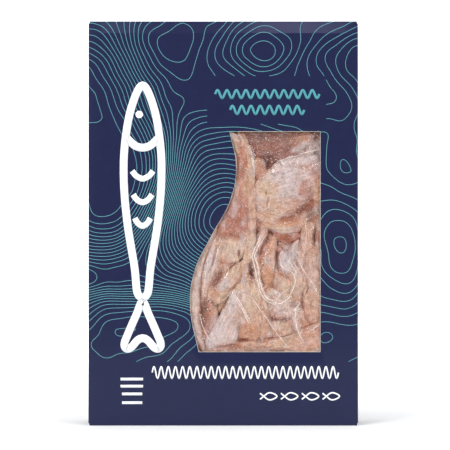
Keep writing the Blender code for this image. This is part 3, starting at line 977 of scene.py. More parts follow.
# Grooves between and across pieces: depth, half width and the points they run through, in mm.
GROOVES = [
    (0.5, 0.53, [(17.4, 165.0), (18.4, 155.2), (19.1, 145.4), (19.5, 136.5), (19.8, 128.5)]),
    (0.8, 1.68, [(32.6, 122.0), (36.6, 122.3), (41.5, 123.9), (47.5, 128.4), (54.4, 134.8)]),
    (1.8, 1.23, [(27.9, 116.0), (26.4, 112.0), (24.6, 108.0), (22.8, 104.2), (21.7, 100.4)]),
    (0.8, 0.78, [(32.2, 103.5), (31.9, 97.5), (32.6, 92.8), (35.1, 89.0), (38.9, 87.6)]),
    (0.9, 0.56, [(10.9, 89.0), (8.5, 84.5), (3.6, 79.3), (-1.4, 74.4)]),
    (0.9, 0.78, [(47.9, 69.5), (46.7, 75.1), (47.9, 80.7), (50.1, 83.4)]),
    (0.9, 0.78, [(25.9, 65.3), (30.4, 62.8), (34.9, 62.0), (39.4, 63.2)]),
    (1.0, 0.56, [(-4.7, 46.5), (2.4, 47.1), (9.1, 48.9), (15.9, 50.0)]),
    (1.0, 0.56, [(24.8, 51.4), (32.6, 52.1), (39.4, 53.8), (48.3, 58.1), (58.4, 62.6)]),
    (0.9, 0.67, [(32.6, 107.5), (37.1, 104.0), (42.7, 109.8)]),
    (0.8, 0.56, [(-13.0, 71.7), (-12.1, 63.9), (-12.6, 56.1), (-11.2, 48.2)]),
    (0.4, 0.45, [(-7.4, 104.2), (-9.9, 95.2), (-12.6, 84.0), (-13.9, 72.9)]),
    (0.4, 0.45, [(-3.6, 104.2), (-6.3, 95.2), (-8.5, 87.4)]),
    (0.7, 0.56, [(0.2, 97.5), (-0.2, 91.9), (-3.2, 84.9)]),
    (0.8, 0.56, [(-2.3, 97.5), (2.4, 96.3), (6.9, 95.7), (10.3, 97.5)]),
    (0.8, 0.56, [(22.8, 77.3), (23.7, 69.5), (25.9, 62.8), (29.3, 53.8)]),
    (0.6, 0.49, [(25.2, 138.8), (26.9, 134.8), (25.7, 129.9)]),
    (0.5, 0.67, [(10.7, 52.9), (14.1, 54.5), (17.4, 53.8), (19.7, 52.5)]),
    (0.8, 0.45, [(23.7, 99.7), (23.0, 91.9), (23.2, 84.0), (25.5, 77.3)]),
    (0.7, 0.56, [(39.4, 65.0), (40.2, 58.3), (43.8, 53.8)]),
    (0.7, 0.67, [(48.3, 80.7), (47.2, 74.0), (48.3, 67.3), (51.0, 60.6)]),
]
# Stains, painted shade and pale places: x, z, reach along and across, lean in degrees, tone and strength.
# The brown and raw spots that lie on hollows and grooves are painted shade; the others are the flesh's own
# stains and pale places.
STAINS_AND_SHADE = [
    (43.0, 132.3, 3.0, 3.4, 0, "rust", 0.55), (51.8, 137.8, 4.0, 2.0, 10, "brown", 0.60),
    (39.6, 122.8, 1.4, 4.0, 0, "brown", 0.60), (32.6, 100.8, 5.8, 1.7, 0, "rust", 0.70),
    (1.9, 46.5, 1.3, 10.1, 3, "brown", 0.70), (52.4, 160.0, 4.3, 6.3, 0, "pale", 0.80),
    (33.0, 96.6, 5.1, 1.3, -6, "raw", 0.85), (53.4, 109.8, 2.2, 1.3, 0, "brown", 0.70),
    (-6.5, 84.3, 3.8, 1.6, 28, "raw", 0.80), (16.5, 92.4, 4.3, 1.5, 0, "raw", 0.80),
    (20.8, 116.0, 4.0, 2.4, 0, "rust", 0.70), (54.4, 166.4, 4.0, 4.9, 0, "pale", 0.60),
    (32.6, 161.5, 3.0, 5.9, 0, "raw", 0.60), (24.9, 156.0, 3.8, 2.2, 0, "raw", 0.95),
    (21.0, 151.6, 4.0, 1.4, 0, "rose", 0.50), (20.8, 145.9, 0.8, 1.4, 0, "brown", 0.70),
    (9.9, 155.6, 10.9, 2.4, 2, "rust", 0.15), (6.5, 121.4, 7.1, 5.9, 20, "rust", 0.55),
    (9.9, 128.5, 5.3, 4.4, 10, "rose", 0.35), (3.8, 112.3, 2.3, 7.5, 0, "rust", 0.75),
    (20.6, 144.5, 7.1, 1.8, 0, "beige", 0.40), (47.5, 128.5, 2.2, 8.3, -30, "rust", 0.60),
    (49.4, 130.3, 2.0, 6.9, -30, "brown", 0.80), (30.6, 45.1, 1.3, 14.5, 2, "mauve", 0.50),
    (13.9, 143.7, 9.9, 1.6, 0, "butter", 0.40), (37.6, 122.0, 1.4, 5.9, -6, "rust", 0.85),
    (51.4, 131.8, 5.9, 2.6, 14, "rust", 0.70), (47.5, 139.7, 5.9, 3.6, 14, "rose", 0.70),
    (56.0, 138.8, 8.9, 1.8, 0, "amber", 0.90), (38.0, 110.2, 2.9, 4.9, 0, "rust", 0.90),
    (27.0, 87.4, 6.7, 2.7, 6, "amber", 0.90), (32.6, 63.2, 1.8, 6.0, 4, "raw", 0.90),
    (36.0, 64.1, 1.8, 2.9, 0, "mauve", 0.50), (44.1, 96.3, 2.9, 1.3, -30, "raw", 0.70),
    (2.7, 79.3, 3.8, 1.1, 30, "brown", 0.70), (53.9, 55.6, 2.5, 7.8, -20, "rose", 0.40),
    (52.6, 46.5, 2.2, 5.6, -10, "pink", 0.50), (-0.2, 84.3, 4.5, 2.9, 30, "pale", 0.60),
    (55.4, 139.7, 5.9, 2.4, 0, "cream", 0.30), (32.6, 65.0, 1.3, 6.7, 4, "rust", 0.40),
    (3.3, 56.1, 7.8, 2.9, 10, "beige", 0.50), (40.7, 120.4, 2.2, 5.1, -10, "amber", 0.70),
    (42.7, 122.2, 1.5, 4.3, -18, "rust", 0.70), (49.4, 129.9, 2.4, 5.9, -28, "rust", 0.45),
    (51.4, 101.9, 5.6, 5.6, 0, "beige", 0.50), (28.7, 166.4, 4.0, 5.9, 0, "rose", 0.35),
    (50.4, 171.4, 3.0, 5.5, 0, "pink", 0.60), (-12.1, 78.5, 6.7, 2.7, 8, "beige", 0.50),
    (-0.4, 90.2, 3.8, 2.5, 20, "cream", 0.50), (21.2, 111.3, 5.1, 1.1, 10, "pale", 0.70),
    (56.0, 162.9, 3.0, 2.0, 0, "pale", 0.50), (-7.0, 48.7, 3.4, 3.8, 20, "pale", 0.80),
    (54.4, 171.4, 2.4, 2.6, 0, "brown", 0.60), (51.8, 126.3, 3.4, 2.6, 0, "brown", 0.80),
    (39.6, 119.8, 2.0, 5.9, 0, "amber", 0.70), (-1.4, 74.0, 2.2, 4.5, 30, "amber", 0.80),
    (15.9, 56.1, 4.5, 7.2, 0, "amber", 0.85), (24.7, 141.7, 4.0, 4.9, 0, "cream", 0.80),
    (-12.1, 66.1, 10.1, 2.5, 6, "raw", 0.95), (-12.1, 69.5, 3.8, 2.2, 0, "brown", 0.70),
    (-6.5, 66.1, 6.7, 2.0, 8, "pink", 0.50), (33.6, 148.6, 4.0, 8.9, -20, "pale", 0.60),
    (40.1, 144.5, 4.3, 4.3, 0, "pale", 0.70), (25.7, 139.7, 3.6, 4.9, 0, "cream", 0.90),
    (3.6, 104.2, 5.6, 7.2, 0, "lilac", 0.55), (2.7, 105.3, 5.6, 6.7, 0, "cream", 0.50),
    (-0.9, 56.1, 10.1, 7.8, 20, "pale", 0.60), (38.3, 104.9, 4.5, 4.5, 0, "mauve", 0.30),
    (36.7, 97.2, 4.5, 3.8, 0, "pale", 0.90), (49.4, 158.5, 1.4, 6.9, -14, "pale", 0.70),
    (37.6, 129.9, 4.0, 6.9, -20, "beige", 0.60), (32.6, 118.0, 2.4, 5.9, 10, "cream", 0.60),
    (19.2, 80.7, 6.7, 3.4, 0, "cream", 0.50), (36.0, 69.5, 5.6, 6.7, 0, "lilac", 0.60),
    (43.8, 80.7, 6.7, 5.6, 0, "cream", 0.60), (19.2, 67.3, 7.8, 5.6, 0, "beige", 0.50),
    (42.7, 77.3, 6.7, 4.5, 0, "mauve", 0.25), (33.6, 44.4, 1.0, 5.6, 0, "brown", 0.75),
    (5.3, 74.0, 5.6, 3.1, 0, "pale", 0.80), (45.5, 168.4, 4.0, 7.9, 0, "pink", 0.45),
    (-14.3, 88.5, 15.7, 1.1, 12, "pale", 0.50), (-8.7, 94.1, 13.4, 0.9, 14, "pale", 0.60),
    (52.8, 71.7, 7.8, 4.5, 0, "beige", 0.60), (50.5, 49.4, 3.8, 12.3, -14, "pink", 0.50),
    (18.8, 163.5, 4.9, 4.9, 0, "rust", 0.45), (33.6, 170.4, 4.0, 8.9, 0, "mauve", 0.30),
    (10.3, 77.3, 4.5, 4.5, 0, "pale", 0.50), (50.5, 107.5, 8.9, 3.4, 0, "pink", 0.50),
    (53.9, 86.3, 8.9, 3.4, 0, "lilac", 0.50), (4.7, 47.1, 1.3, 11.2, 4, "rust", 0.50),
    (9.1, 166.4, 5.9, 1.4, -10, "rust", 0.40), (-13.9, 46.5, 2.2, 2.5, 0, "rust", 0.60),
    (-3.2, 87.4, 4.9, 2.2, 28, "raw", 0.80), (25.7, 125.9, 5.9, 3.0, 0, "beige", 0.60),
    (20.8, 151.6, 5.9, 1.6, 0, "amber", 0.50), (10.3, 94.1, 4.5, 2.2, 10, "cream", 0.60),
    (46.1, 165.2, 6.5, 1.8, 66, "pale", 0.75), (53.8, 170.6, 2.4, 3.0, 0, "lilac", 0.50),
    (40.7, 126.1, 5.9, 3.0, 62, "rust", 0.50), (-0.8, 73.9, 7.7, 3.0, 30, "cream", 0.80),
    (-16.2, 59.1, 7.7, 2.1, -4, "pale", 0.70), (6.4, 127.9, 5.3, 2.1, 25, "pale", 0.50),
    (55.6, 157.5, 8.3, 2.4, 0, "pale", 0.50), (55.6, 112.5, 3.0, 2.4, 0, "rust", 0.50),
    (31.3, 119.6, 6.5, 2.4, 82, "amber", 0.50), (15.9, 71.7, 8.9, 3.4, 16, "cream", 0.40),
    (28.4, 106.4, 5.6, 2.9, 6, "pink", 0.60), (48.3, 62.8, 4.5, 6.7, -14, "pink", 0.50),
]

# %% [markdown]
# A piece has thousands of points, so noise, spots and lines are worked out for all of them at once, with
# arrays. The noise gives each corner of a lattice a slope of its own and blends smoothly between them.

# %% Noise, spots and lines for whole arrays of points
HASH_STEPS = np.array([73856093, 19349663, 83492791])
HASH_MIX = 1274126177
SEED_SHIFT = np.array([7.31, -3.17, 1.93])


def turbulence(points, scale, seed):
    """Smooth noise between about -1 and 1 for rows of x, y and z, with bumps of one size or one per axis."""
    points = np.atleast_2d(points) / np.array(scale, float) + SEED_SHIFT * (seed + 1.0)
    cell = np.floor(points).astype(np.int64)
    inside = points - cell
    ease = inside ** 3 * (inside * (inside * 6 - 15) + 10)
    total = np.zeros(len(points))
    for corner in range(8):
        step = np.array([corner & 1, corner >> 1 & 1, corner >> 2 & 1])
        key = ((cell + step) * HASH_STEPS).sum(axis=1) & 0xFFFFFFFF
        key = (key ^ (key >> 13)) * HASH_MIX & 0xFFFFFFFF
        slope = np.stack([(key >> shift & 255) / 127.5 - 1.0 for shift in (3, 11, 19)], axis=1)
        weight = np.prod(np.where(step == 1, ease, 1.0 - ease), axis=1)
        total += weight * ((inside - step) * slope).sum(axis=1)
    return total * 1.6


def spot(x, z, place_x, place_z, along, across, lean):
    """How strongly a soft oval spot covers each point, from 0 to 1."""
    turn = math.radians(lean)
    up = (x - place_x) * math.sin(turn) + (z - place_z) * math.cos(turn)
    over = (x - place_x) * math.cos(turn) - (z - place_z) * math.sin(turn)
    return np.exp(-((up / along) ** 2 + (over / across) ** 2))


def along_line(x, z, points):
    """How far each place lies from a smooth line through the points, and how far along it, from 0 to 1."""
    line = smooth_path(points, steps=10)
    nearest, share = np.full(len(x), 1e9), np.zeros(len(x))
    for index in range(len(line) - 1):
        start, run = line[index], line[index + 1] - line[index]
        t = np.clip(((x - start[0]) * run[0] + (z - start[1]) * run[1]) / (run @ run), 0.0, 1.0)
        distance = np.hypot(x - start[0] - t * run[0], z - start[1] - t * run[1])
        closer = distance < nearest
        nearest[closer] = distance[closer]
        share[closer] = (index + t[closer]) / (len(line) - 1)
    return nearest, share

# %% [markdown]
# Hollows and grooves move points back from the film and darken them with painted shade, as a pocket lets in
# little light. Stains, the painted shade laid along hollows and grooves, and pale places only change the
# tone, and noise breaks up their edges.

# %% Hollows, grooves, stains and painted shade
FACING_FRONT = -0.3  # points turned further away than this keep their place
DARK_HOLLOW, DARK_GROOVE = 2.0, 1.8  # mm deep for full darkness


def pressed_in(behind, outward, places, wavy_places):
    """Presses hollows and grooves in: how far each point then lies behind the film, and how dark it is."""
    in_front = outward > FACING_FRONT
    dark = np.zeros(len(behind))
    for *where, deep in HOLLOWS:
        cover = spot(*places, *where)
        behind = behind + deep * cover * in_front
        dark = np.maximum(dark, cover * min(1.0, deep / DARK_HOLLOW))
    for deep, half_width, points in GROOVES:
        nearest, share = along_line(*wavy_places, points)
        fade = np.clip(8.0 * share * (1.0 - share) + 0.3, 0.0, 1.0)
        cover = np.exp(-(nearest / half_width) ** 2) * fade
        behind = behind + deep * cover * in_front
        dark = np.maximum(dark, cover * min(1.0, deep / DARK_GROOVE))
    return behind, dark


def stained_and_shaded(tone, wavy_places, uneven):
    """A piece's tones with all stains, painted shade and pale places over them."""
    for *where, name, strength in STAINS_AND_SHADE:
        cover = spot(*wavy_places, *where)
        cover = strength * np.clip((cover * uneven - 0.12) / 0.5, 0.0, 1.0)
        tone = tone + (FLESH_TONES[name] - tone) * np.clip(cover, 0.0, 0.95)[:, None]
    return tone

# %% [markdown]
# One function shapes a piece. It lays a sphere along the path, frays its edges, raises lumps and cuts grooves
# along the fibres, and paints each point. Every noise is measured in mm along and across the piece.

# %% Shaping one piece
FLESH_STEP = 0.55  # mm between points
END_POWER = 6  # the higher, the blunter the ends
NEAREST_FILM = 0.5  # mm; flesh that would come nearer is flattened
GROOVE_WIDTH, CRACK_WIDTH = 0.14, 0.10  # shares of the noise's height
STAIN_AND_SHADE_LOSS = np.array([0.20, 0.36, 0.44])  # shares of red, green and blue that are lost
DARKER_POCKET = np.array([0.36, 0.54, 0.62])
FRAYS = ((1.1, 7.0), (0.8, 2.2), (0.4, 0.9))  # how far the edges fray, and over what length, in mm


def flesh_piece(rows, depth, thick, tones, seed, crumbly=False, rough=1.0):
    """The mesh of one piece: rows are x, z and half width along its path, from end to end, in mm."""
    path = smooth_path(rows, steps=10)
    length = np.concatenate([[0.0], np.cumsum(np.linalg.norm(np.diff(path[:, :2], axis=0), axis=1))])
    widest, reach = path[:, 2].max(), length[-1]
    rings = max(12, round(reach / FLESH_STEP))
    around = max(20, round(4.2 * widest / FLESH_STEP))
    bm = bmesh.new()
    bmesh.ops.create_uvsphere(bm, u_segments=around, v_segments=rings, radius=1.0)
    ball = np.array([vert.co for vert in bm.verts])
    turn = np.arctan2(ball[:, 1], ball[:, 0])
    t = np.arccos(np.clip(ball[:, 2], -1.0, 1.0)) / math.pi
    run = t * reach

    def on_path(distance, column):
        return np.interp(np.clip(distance, 0.0, reach), length, path[:, column])

    def grain(u, v, w, scale, offset):
        return turbulence(np.stack(np.broadcast_arrays(u, v, w), axis=1), scale, seed + offset)

    # The outline: half widths along the path, frayed at three sizes.
    x, z, width = on_path(run, 0), on_path(run, 1), on_path(run, 2)
    along = np.stack([on_path(run + 1.5, k) - on_path(run - 1.5, k) for k in (0, 1)], axis=1)
    along /= np.maximum(np.linalg.norm(along, axis=1, keepdims=True), 1e-9)
    side = np.stack([-along[:, 1], along[:, 0]], axis=1)
    ends = np.abs(2.0 * t - 1.0)
    cap = np.clip(1.0 - ends ** END_POWER, 0.0, 1.0) ** 0.5
    across, outward = np.cos(turn), -np.sin(turn)
    edge = np.sign(across)
    frays = [size * grain(run, edge * 9.0, 0.0, scale, k) for k, (size, scale) in enumerate(FRAYS)]
    ragged = rough * (frays[0] + frays[1] + frays[2])
    half = cap * (width + ragged * np.minimum(1.0, width / 5.0))
    offset = edge * np.abs(across) ** 0.8 * half
    torn = ends ** 8 * 4.0 * rough * grain(offset, t * 5.0, 0.0, 2.4, 3)
    place_x, place_z = x + side[:, 0] * offset, z + side[:, 1] * offset

    # The relief: lumps, fibres, crumbs, grooves and cracks, in mm.
    lump = 0.9 * grain(run, offset, 0.0, 9.0, 4) + 0.6 * grain(run, offset * 1.6, 3.0, 4.0, 5)
    split = np.abs(grain(run * 0.3, offset, 1.0, 3.2, 6))
    groove = np.clip(GROOVE_WIDTH - split, 0.0, None) / GROOVE_WIDTH
    parted = np.abs(grain(run * 0.8, offset, 4.0, 5.0, 7))
    crack = np.clip(CRACK_WIDTH - parted, 0.0, None) / CRACK_WIDTH
    fibre = grain(run * 0.18, offset, 2.0, 0.8, 8)
    crumb = grain(run * 0.7, offset, 2.0, 1.1, 9)
    if crumbly:
        fibre, crumb = 0.0 * fibre, 3.0 * grain(place_x, place_z, 2.0, 1.8, 9)
    relief = 0.9 * lump + 0.12 * fibre + 0.18 * crumb - 0.6 * groove - 0.5 * crack
    relief = rough * relief * min(1.0, thick / 2.4)
    body = thick * cap ** 0.5 * np.sign(outward) * np.abs(outward) ** 0.5
    height = body + relief * np.where(outward > 0.0, 1.0, -0.6) * (0.4 + 0.6 * np.abs(outward))
    place_x += side[:, 0] * 0.25 * fibre + along[:, 0] * torn
    place_z += side[:, 1] * 0.25 * fibre + along[:, 1] * torn
    behind = depth + thick - height  # how far each point lies behind the film
    flattened = NEAREST_FILM - NEAREST_FILM * (1.0 - np.exp((behind - NEAREST_FILM) / NEAREST_FILM))
    behind = np.where(behind < NEAREST_FILM, flattened, behind)
    wavy_x = place_x + 0.9 * grain(place_x, place_z, 3.0, 3.0, 15)
    wavy_z = place_z + 0.9 * grain(place_x, place_z, 4.0, 3.0, 16)
    behind, dark = pressed_in(behind, outward, (place_x, place_z), (wavy_x, wavy_z))

    # The tone: the piece's own tones along its path, then what time and salt did to them, and painted shade
    # in its grooves, cracks and hollows and at its edges.
    palette = np.array([FLESH_TONES[tone] for tone in tones.split()])
    spans = t * (len(palette) - 1)
    tone = np.stack([np.interp(spans, range(len(palette)), palette[:, k]) for k in range(3)], axis=1)
    stain = np.clip(grain(place_x, place_z, 5.0, 6.5, 10), 0.0, None)
    stain = stain + 0.7 * np.clip(grain(run * 0.4, offset, 6.0, 2.4, 11), 0.0, None)
    bloom = np.clip(grain(run * 0.5, offset, 8.0, 4.0, 12), 0.0, None)
    bloom = bloom + 0.6 * np.clip(grain(run * 0.25, offset, 9.0, 1.2, 13), 0.0, None)
    bloom *= 0.3 if crumbly else 1.0
    # Stains are the flesh's own colour; the fibre grooves and cracks are darkened with them as painted shade.
    lost = np.clip(1.1 * stain + 0.5 * groove + 0.5 * crack, 0.0, 1.0)
    tone *= 1.0 - STAIN_AND_SHADE_LOSS * lost[:, None]
    tone += (FLESH_TONES["pale"] - tone) * np.clip(0.9 * bloom, 0.0, 0.65)[:, None]
    uneven = 1.0 + 0.5 * grain(place_x, place_z, 1.0, 2.5, 14)
    streaky = 0.35 * grain(run * 0.22, offset, 4.0, 0.7, 17) + 0.3 * grain(place_x, place_z, 5.0, 0.9, 18)
    tone = stained_and_shaded(tone, (wavy_x, wavy_z), uneven + streaky)
    tone *= 1.0 - DARKER_POCKET * dark[:, None]
    # Painted shade: each piece darkens towards its sides, where it turns away from the film.
    tone *= 1.0 - 0.18 * np.abs(across)[:, None] ** 8
    places = np.stack([place_x, GLASS_PLANE + behind, place_z], axis=1) * MM
    run = run * 5.0 if crumbly else run
    return painted_mesh(bm, places, tone, np.stack([run, offset, np.full(len(run), seed * 5.0)], axis=1))

# %% [markdown]
# The flesh's finish is waxy and a little translucent, so some light passes under its surface. Fine streaks
# follow the fibres, which is why every point also keeps how far along and across its piece it lies.

# %% Material of the flesh
STREAK_LENGTH, STREAK_WIDTH = 5.0, 1.25  # mm


def flesh_material(name):
    """Dried fish flesh: waxy, a little translucent, with fine fibres, specks of salt, uneven tone and painted
    shade in fine pits.
    """
    material, shader = new_material(name)
    place = add_node(material, "ShaderNodeTexCoord").outputs["Object"]
    painted = add_node(material, "ShaderNodeAttribute", attribute_name="flesh").outputs["Color"]
    fibre = add_node(material, "ShaderNodeAttribute", attribute_name="fibre").outputs["Vector"]
    drawn = add_node(material, "ShaderNodeMapping", {
        "Vector": fibre, "Scale": (1.0 / STREAK_LENGTH, 1.0 / STREAK_WIDTH, 1.0),
    })
    streaks = add_node(material, "ShaderNodeTexNoise", {
        "Vector": drawn.outputs["Vector"], "Scale": 1.0, "Detail": 4.0, "Roughness": 0.6,
    })
    mottle = add_node(material, "ShaderNodeTexNoise", {
        "Vector": place, "Scale": per_mm(0.3), "Detail": 5.0, "Roughness": 0.6,  # clouds 3 mm apart
    })
    grain = add_node(material, "ShaderNodeTexNoise", {
        "Vector": place, "Scale": per_mm(1.3), "Detail": 3.0,  # pits and specks of salt under 1 mm apart
    })
    both = add_node(material, "ShaderNodeMath", {
        0: mottle.outputs["Fac"], 1: streaks.outputs["Fac"],
    }, operation="ADD")
    shade = add_node(material, "ShaderNodeMapRange", {
        "Value": both.outputs["Value"], "From Min": 0.72, "From Max": 1.28, "To Min": 0.7, "To Max": 1.29,
    })
    # Painted shade: the low places of the fine grain, its pits, are darkened by up to a quarter.
    pits = add_node(material, "ShaderNodeMapRange", {
        "Value": grain.outputs["Fac"], "From Min": 0.30, "From Max": 0.46, "To Min": 0.76, "To Max": 1.0,
    })
    depth = add_node(material, "ShaderNodeMath", {
        0: shade.outputs["Result"], 1: pits.outputs["Result"],
    }, operation="MULTIPLY")
    toned = add_node(material, "ShaderNodeVectorMath", {
        0: painted, "Scale": depth.outputs["Value"],
    }, operation="SCALE")
    specks = add_node(material, "ShaderNodeMapRange", {
        "Value": grain.outputs["Fac"], "From Min": 0.57, "From Max": 0.71, "To Min": 0.0, "To Max": 0.5,
    })
    salted = add_node(material, "ShaderNodeMix", {
        "Factor": specks.outputs["Result"], "A": toned.outputs["Vector"], "B": linear("#EFE4DF"),
    }, data_type="RGBA")
    relief = add_node(material, "ShaderNodeMath", {
        0: both.outputs["Value"], 1: grain.outputs["Fac"],
    }, operation="ADD")
    bump = add_node(material, "ShaderNodeBump", {
        "Height": relief.outputs["Value"], "Strength": 0.8, "Distance": 0.6 * MM,
    })
    set_inputs(material, shader, {
        "Base Color": salted.outputs["Result"], "Normal": bump.outputs["Normal"],
        "Roughness": 0.5, "Specular IOR Level": 0.4,
        "Subsurface Weight": 0.15, "Subsurface Radius": (1.0, 0.45, 0.3), "Subsurface Scale": 0.5 * MM,
    })
    return material


flesh = flesh_material("dried white fish flesh")

# %% [markdown]
# The pieces that show are placed one by one. More of them, placed by chance, fill the gaps behind, and all
# rest on a lumpy core that stands for the rest of the filling, so that no gap looks right through the bag.

# %% The pieces
def painted_mesh(bm, places, tones, fibre):
    """Ends a bmesh as a mesh whose points lie at these places and keep their tone and place on the piece."""
    mesh = bpy.data.meshes.new("flesh")
    bm.to_mesh(mesh)
    bm.free()
    mesh.vertices.foreach_set("co", places.ravel())
    colours = np.column_stack([np.clip(tones, 0.0, 1.0), np.ones(len(tones))])
    mesh.attributes.new("flesh", "FLOAT_COLOR", "POINT").data.foreach_set("color", colours.ravel())
    mesh.attributes.new("fibre", "FLOAT_VECTOR", "POINT").data.foreach_set("vector", fibre.ravel())
    return mesh


def flesh_group(name, meshes):
    """Several pieces as one object."""
    bm = bmesh.new()
    for mesh in meshes:
        bm.from_mesh(mesh)
        bpy.data.meshes.remove(mesh)
    bmesh.ops.recalc_face_normals(bm, faces=bm.faces)
    piece = piece_from(bm, name, [flesh])
    piece.data.shade_smooth()
    print(f"{name}: {len(piece.data.polygons)} faces")
    return piece


CRUMBLY = ("top_crumble", "speckled")
ROUGHNESS = {
    "long_strip": 0.45, "strip_ridge": 0.4, "white_wedge": 0.45, "upper_chunk": 1.0, "neck_flake": 0.5,
    "right_slab": 0.6, "bottom_slab": 0.5, "bottom_strip": 0.6, "slant_1": 0.6, "slant_3": 0.6, "tongue": 0.7,
    "right_strip": 0.6,
}
USUAL_ROUGHNESS = 0.9
UPPER_PIECES = 5
# The fillers: how many, where, lean in radians, half length, half width, depth and half thickness in mm.
FILLERS, FILLED_X, FILLED_Z, FILLER_LEAN = 40, (-24.0, 64.0), (40.0, 180.0), 0.4
FILLER_REACH, FILLER_WIDTH, FILLER_DEPTH, FILLER_THICK = (9.0, 18.0), (3.0, 6.5), (3.0, 4.5), (2.4, 3.6)
FILLER_ENDS = 0.6  # how wide the ends are, as a share of the middle
shaped = []
for index, (name, depth, thick, tones, rows) in enumerate(WINDOW_PIECES):
    manner = {"crumbly": name in CRUMBLY, "rough": ROUGHNESS.get(name, USUAL_ROUGHNESS)}
    shaped.append(flesh_piece(rows, depth, thick, tones, index + 1, **manner))
second_layer = sum(name.startswith("behind") or name == "top_crumble" for name, *_ in WINDOW_PIECES)
window_fish = [
    flesh_group("fish_slabs_behind", shaped[:second_layer]),
    flesh_group("fish_upper_pieces", shaped[second_layer:second_layer + UPPER_PIECES]),
    flesh_group("fish_lower_pieces", shaped[second_layer + UPPER_PIECES:]),
]

random = np.random.default_rng(12)
fillers = []
for index in range(FILLERS):
    x, z = random.uniform(*FILLED_X), random.uniform(*FILLED_Z)
    lean = random.normal(0.0, FILLER_LEAN)
    reach, width = random.uniform(*FILLER_REACH), random.uniform(*FILLER_WIDTH)
    over, up, end = reach * math.sin(lean), reach * math.cos(lean), width * FILLER_ENDS
    rows = [(x - over, z - up, end), (x, z, width), (x + over, z + up, end)]
    tones = " ".join(random.choice(["rust", "mauve", "rose", "pink", "beige"], 3))
    depth, thick = random.uniform(*FILLER_DEPTH), random.uniform(*FILLER_THICK)
    fillers.append(flesh_piece(rows, depth, thick, tones, 60 + index))
window_fish.append(flesh_group("fish_small_pieces", fillers))

# %% [markdown]
# The core is a sphere, spread out to a rounded cushion as large as the bag's inside. It lies close behind the
# board, and further back in the window, to leave room for the pieces there.

# %% The core
CORE_HALF = ((bag_high.x - bag_low.x) / 2 - 7 * MM, (bag_high.z - bag_low.z) / 2 - 14 * MM)
CORE_MIDDLE = (bag_high.z + bag_low.z) / 2
BEHIND_BOARD, ROOM_FOR_PIECES, OFF_BACK = 1.4, 4.6, 1.2  # mm
ROOM_X, ROOM_Z, ROOM_HALF_X, ROOM_HALF_Z, ROOM_FADE = 20.0, 109.0, 46.0, 72.0, 3.0  # mm


def room_share(x, z):
    """1 behind the window and 0 away from it, with a soft change in between."""
    share = 1.0 / (1.0 + np.exp((np.abs(x - ROOM_X) - ROOM_HALF_X) / ROOM_FADE))
    return share / (1.0 + np.exp((np.abs(z - ROOM_Z) - ROOM_HALF_Z) / ROOM_FADE))


bm = bmesh.new()
bmesh.ops.create_uvsphere(bm, u_segments=128, v_segments=96, radius=1.0)
bmesh.ops.rotate(bm, cent=(0, 0, 0), matrix=Matrix.Rotation(SQUARE, 3, "X"), verts=bm.verts)
points = np.array([vert.co for vert in bm.verts])
ring = np.maximum(np.hypot(points[:, 0], points[:, 2]), 1e-6)
square = np.maximum(np.abs(points[:, 0]), np.abs(points[:, 2])) / ring
spread = np.minimum(1.0, np.arcsin(np.clip(ring, 0.0, 1.0)) / SQUARE * 1.02)
x = points[:, 0] / ring / square * spread * CORE_HALF[0] / MM
z = (points[:, 2] / ring / square * spread * CORE_HALF[1] + CORE_MIDDLE) / MM
body = (1.0 - spread ** 5) ** 0.5
in_window = room_share(x, z)
flat = np.stack([x, z, points[:, 1]], axis=1)
lump = 1.1 * turbulence(flat, 12.0, 2) + 0.6 * turbulence(flat, 5.0, 3)
front = (GLASS_PLANE + BEHIND_BOARD + ROOM_FOR_PIECES * in_window - lump) * body
back = (bag_high.y / MM - OFF_BACK + lump) * body
y = np.where(points[:, 1] < 0.0, front, back)
# Painted light and shade: behind the window, where the core shows only deep in the gaps, it is a darker rust
# that stands in for the shade there, and elsewhere it is pink. Its lumps are painted lighter where they bulge
# out and darker where they sink in.
tone = FLESH_TONES["rust"] * 0.9 * in_window[:, None]
tone += FLESH_TONES["pink"] * 0.8 * (1.0 - in_window)[:, None]
tone *= 1.0 + 0.3 * lump[:, None]
fibre = np.stack([z, x, np.zeros(len(x))], axis=1)
core_fish = flesh_group("fish_core", [painted_mesh(bm, np.stack([x, y, z], axis=1) * MM, tone, fibre)])
fish_pieces = window_fish + [core_fish]

# %% [markdown]
# ## The vacuum bag's film
# The air is drawn out of the bag, so its clear film presses on the fish. It touches the high places, spans
# the gaps and gathers in sharp creases, and those catch the light. The film is a grid laid over the pieces:
# rays find how far forward the fish stands under each point, and then the grid is pulled tight over them
# like a skin. Its columns and rows lie closer together in the window, where it is seen.

# %% How the film lies
# All lengths are in mm.
FILM_CLEARANCE = 0.16  # between film and fish
FILM_PULL = 0.012  # how far each pass draws the film back into a gap
PULL_PASSES = 500
SEAL = 7.0  # width of the flat seal round the bag
FINE_X, FINE_Z, FINE_STEP, COARSE_STEP = (-24.0, 61.0), (40.0, 178.0), 0.62, 3.0
IN_FRONT = -50.0  # y from which rays look back at the fish
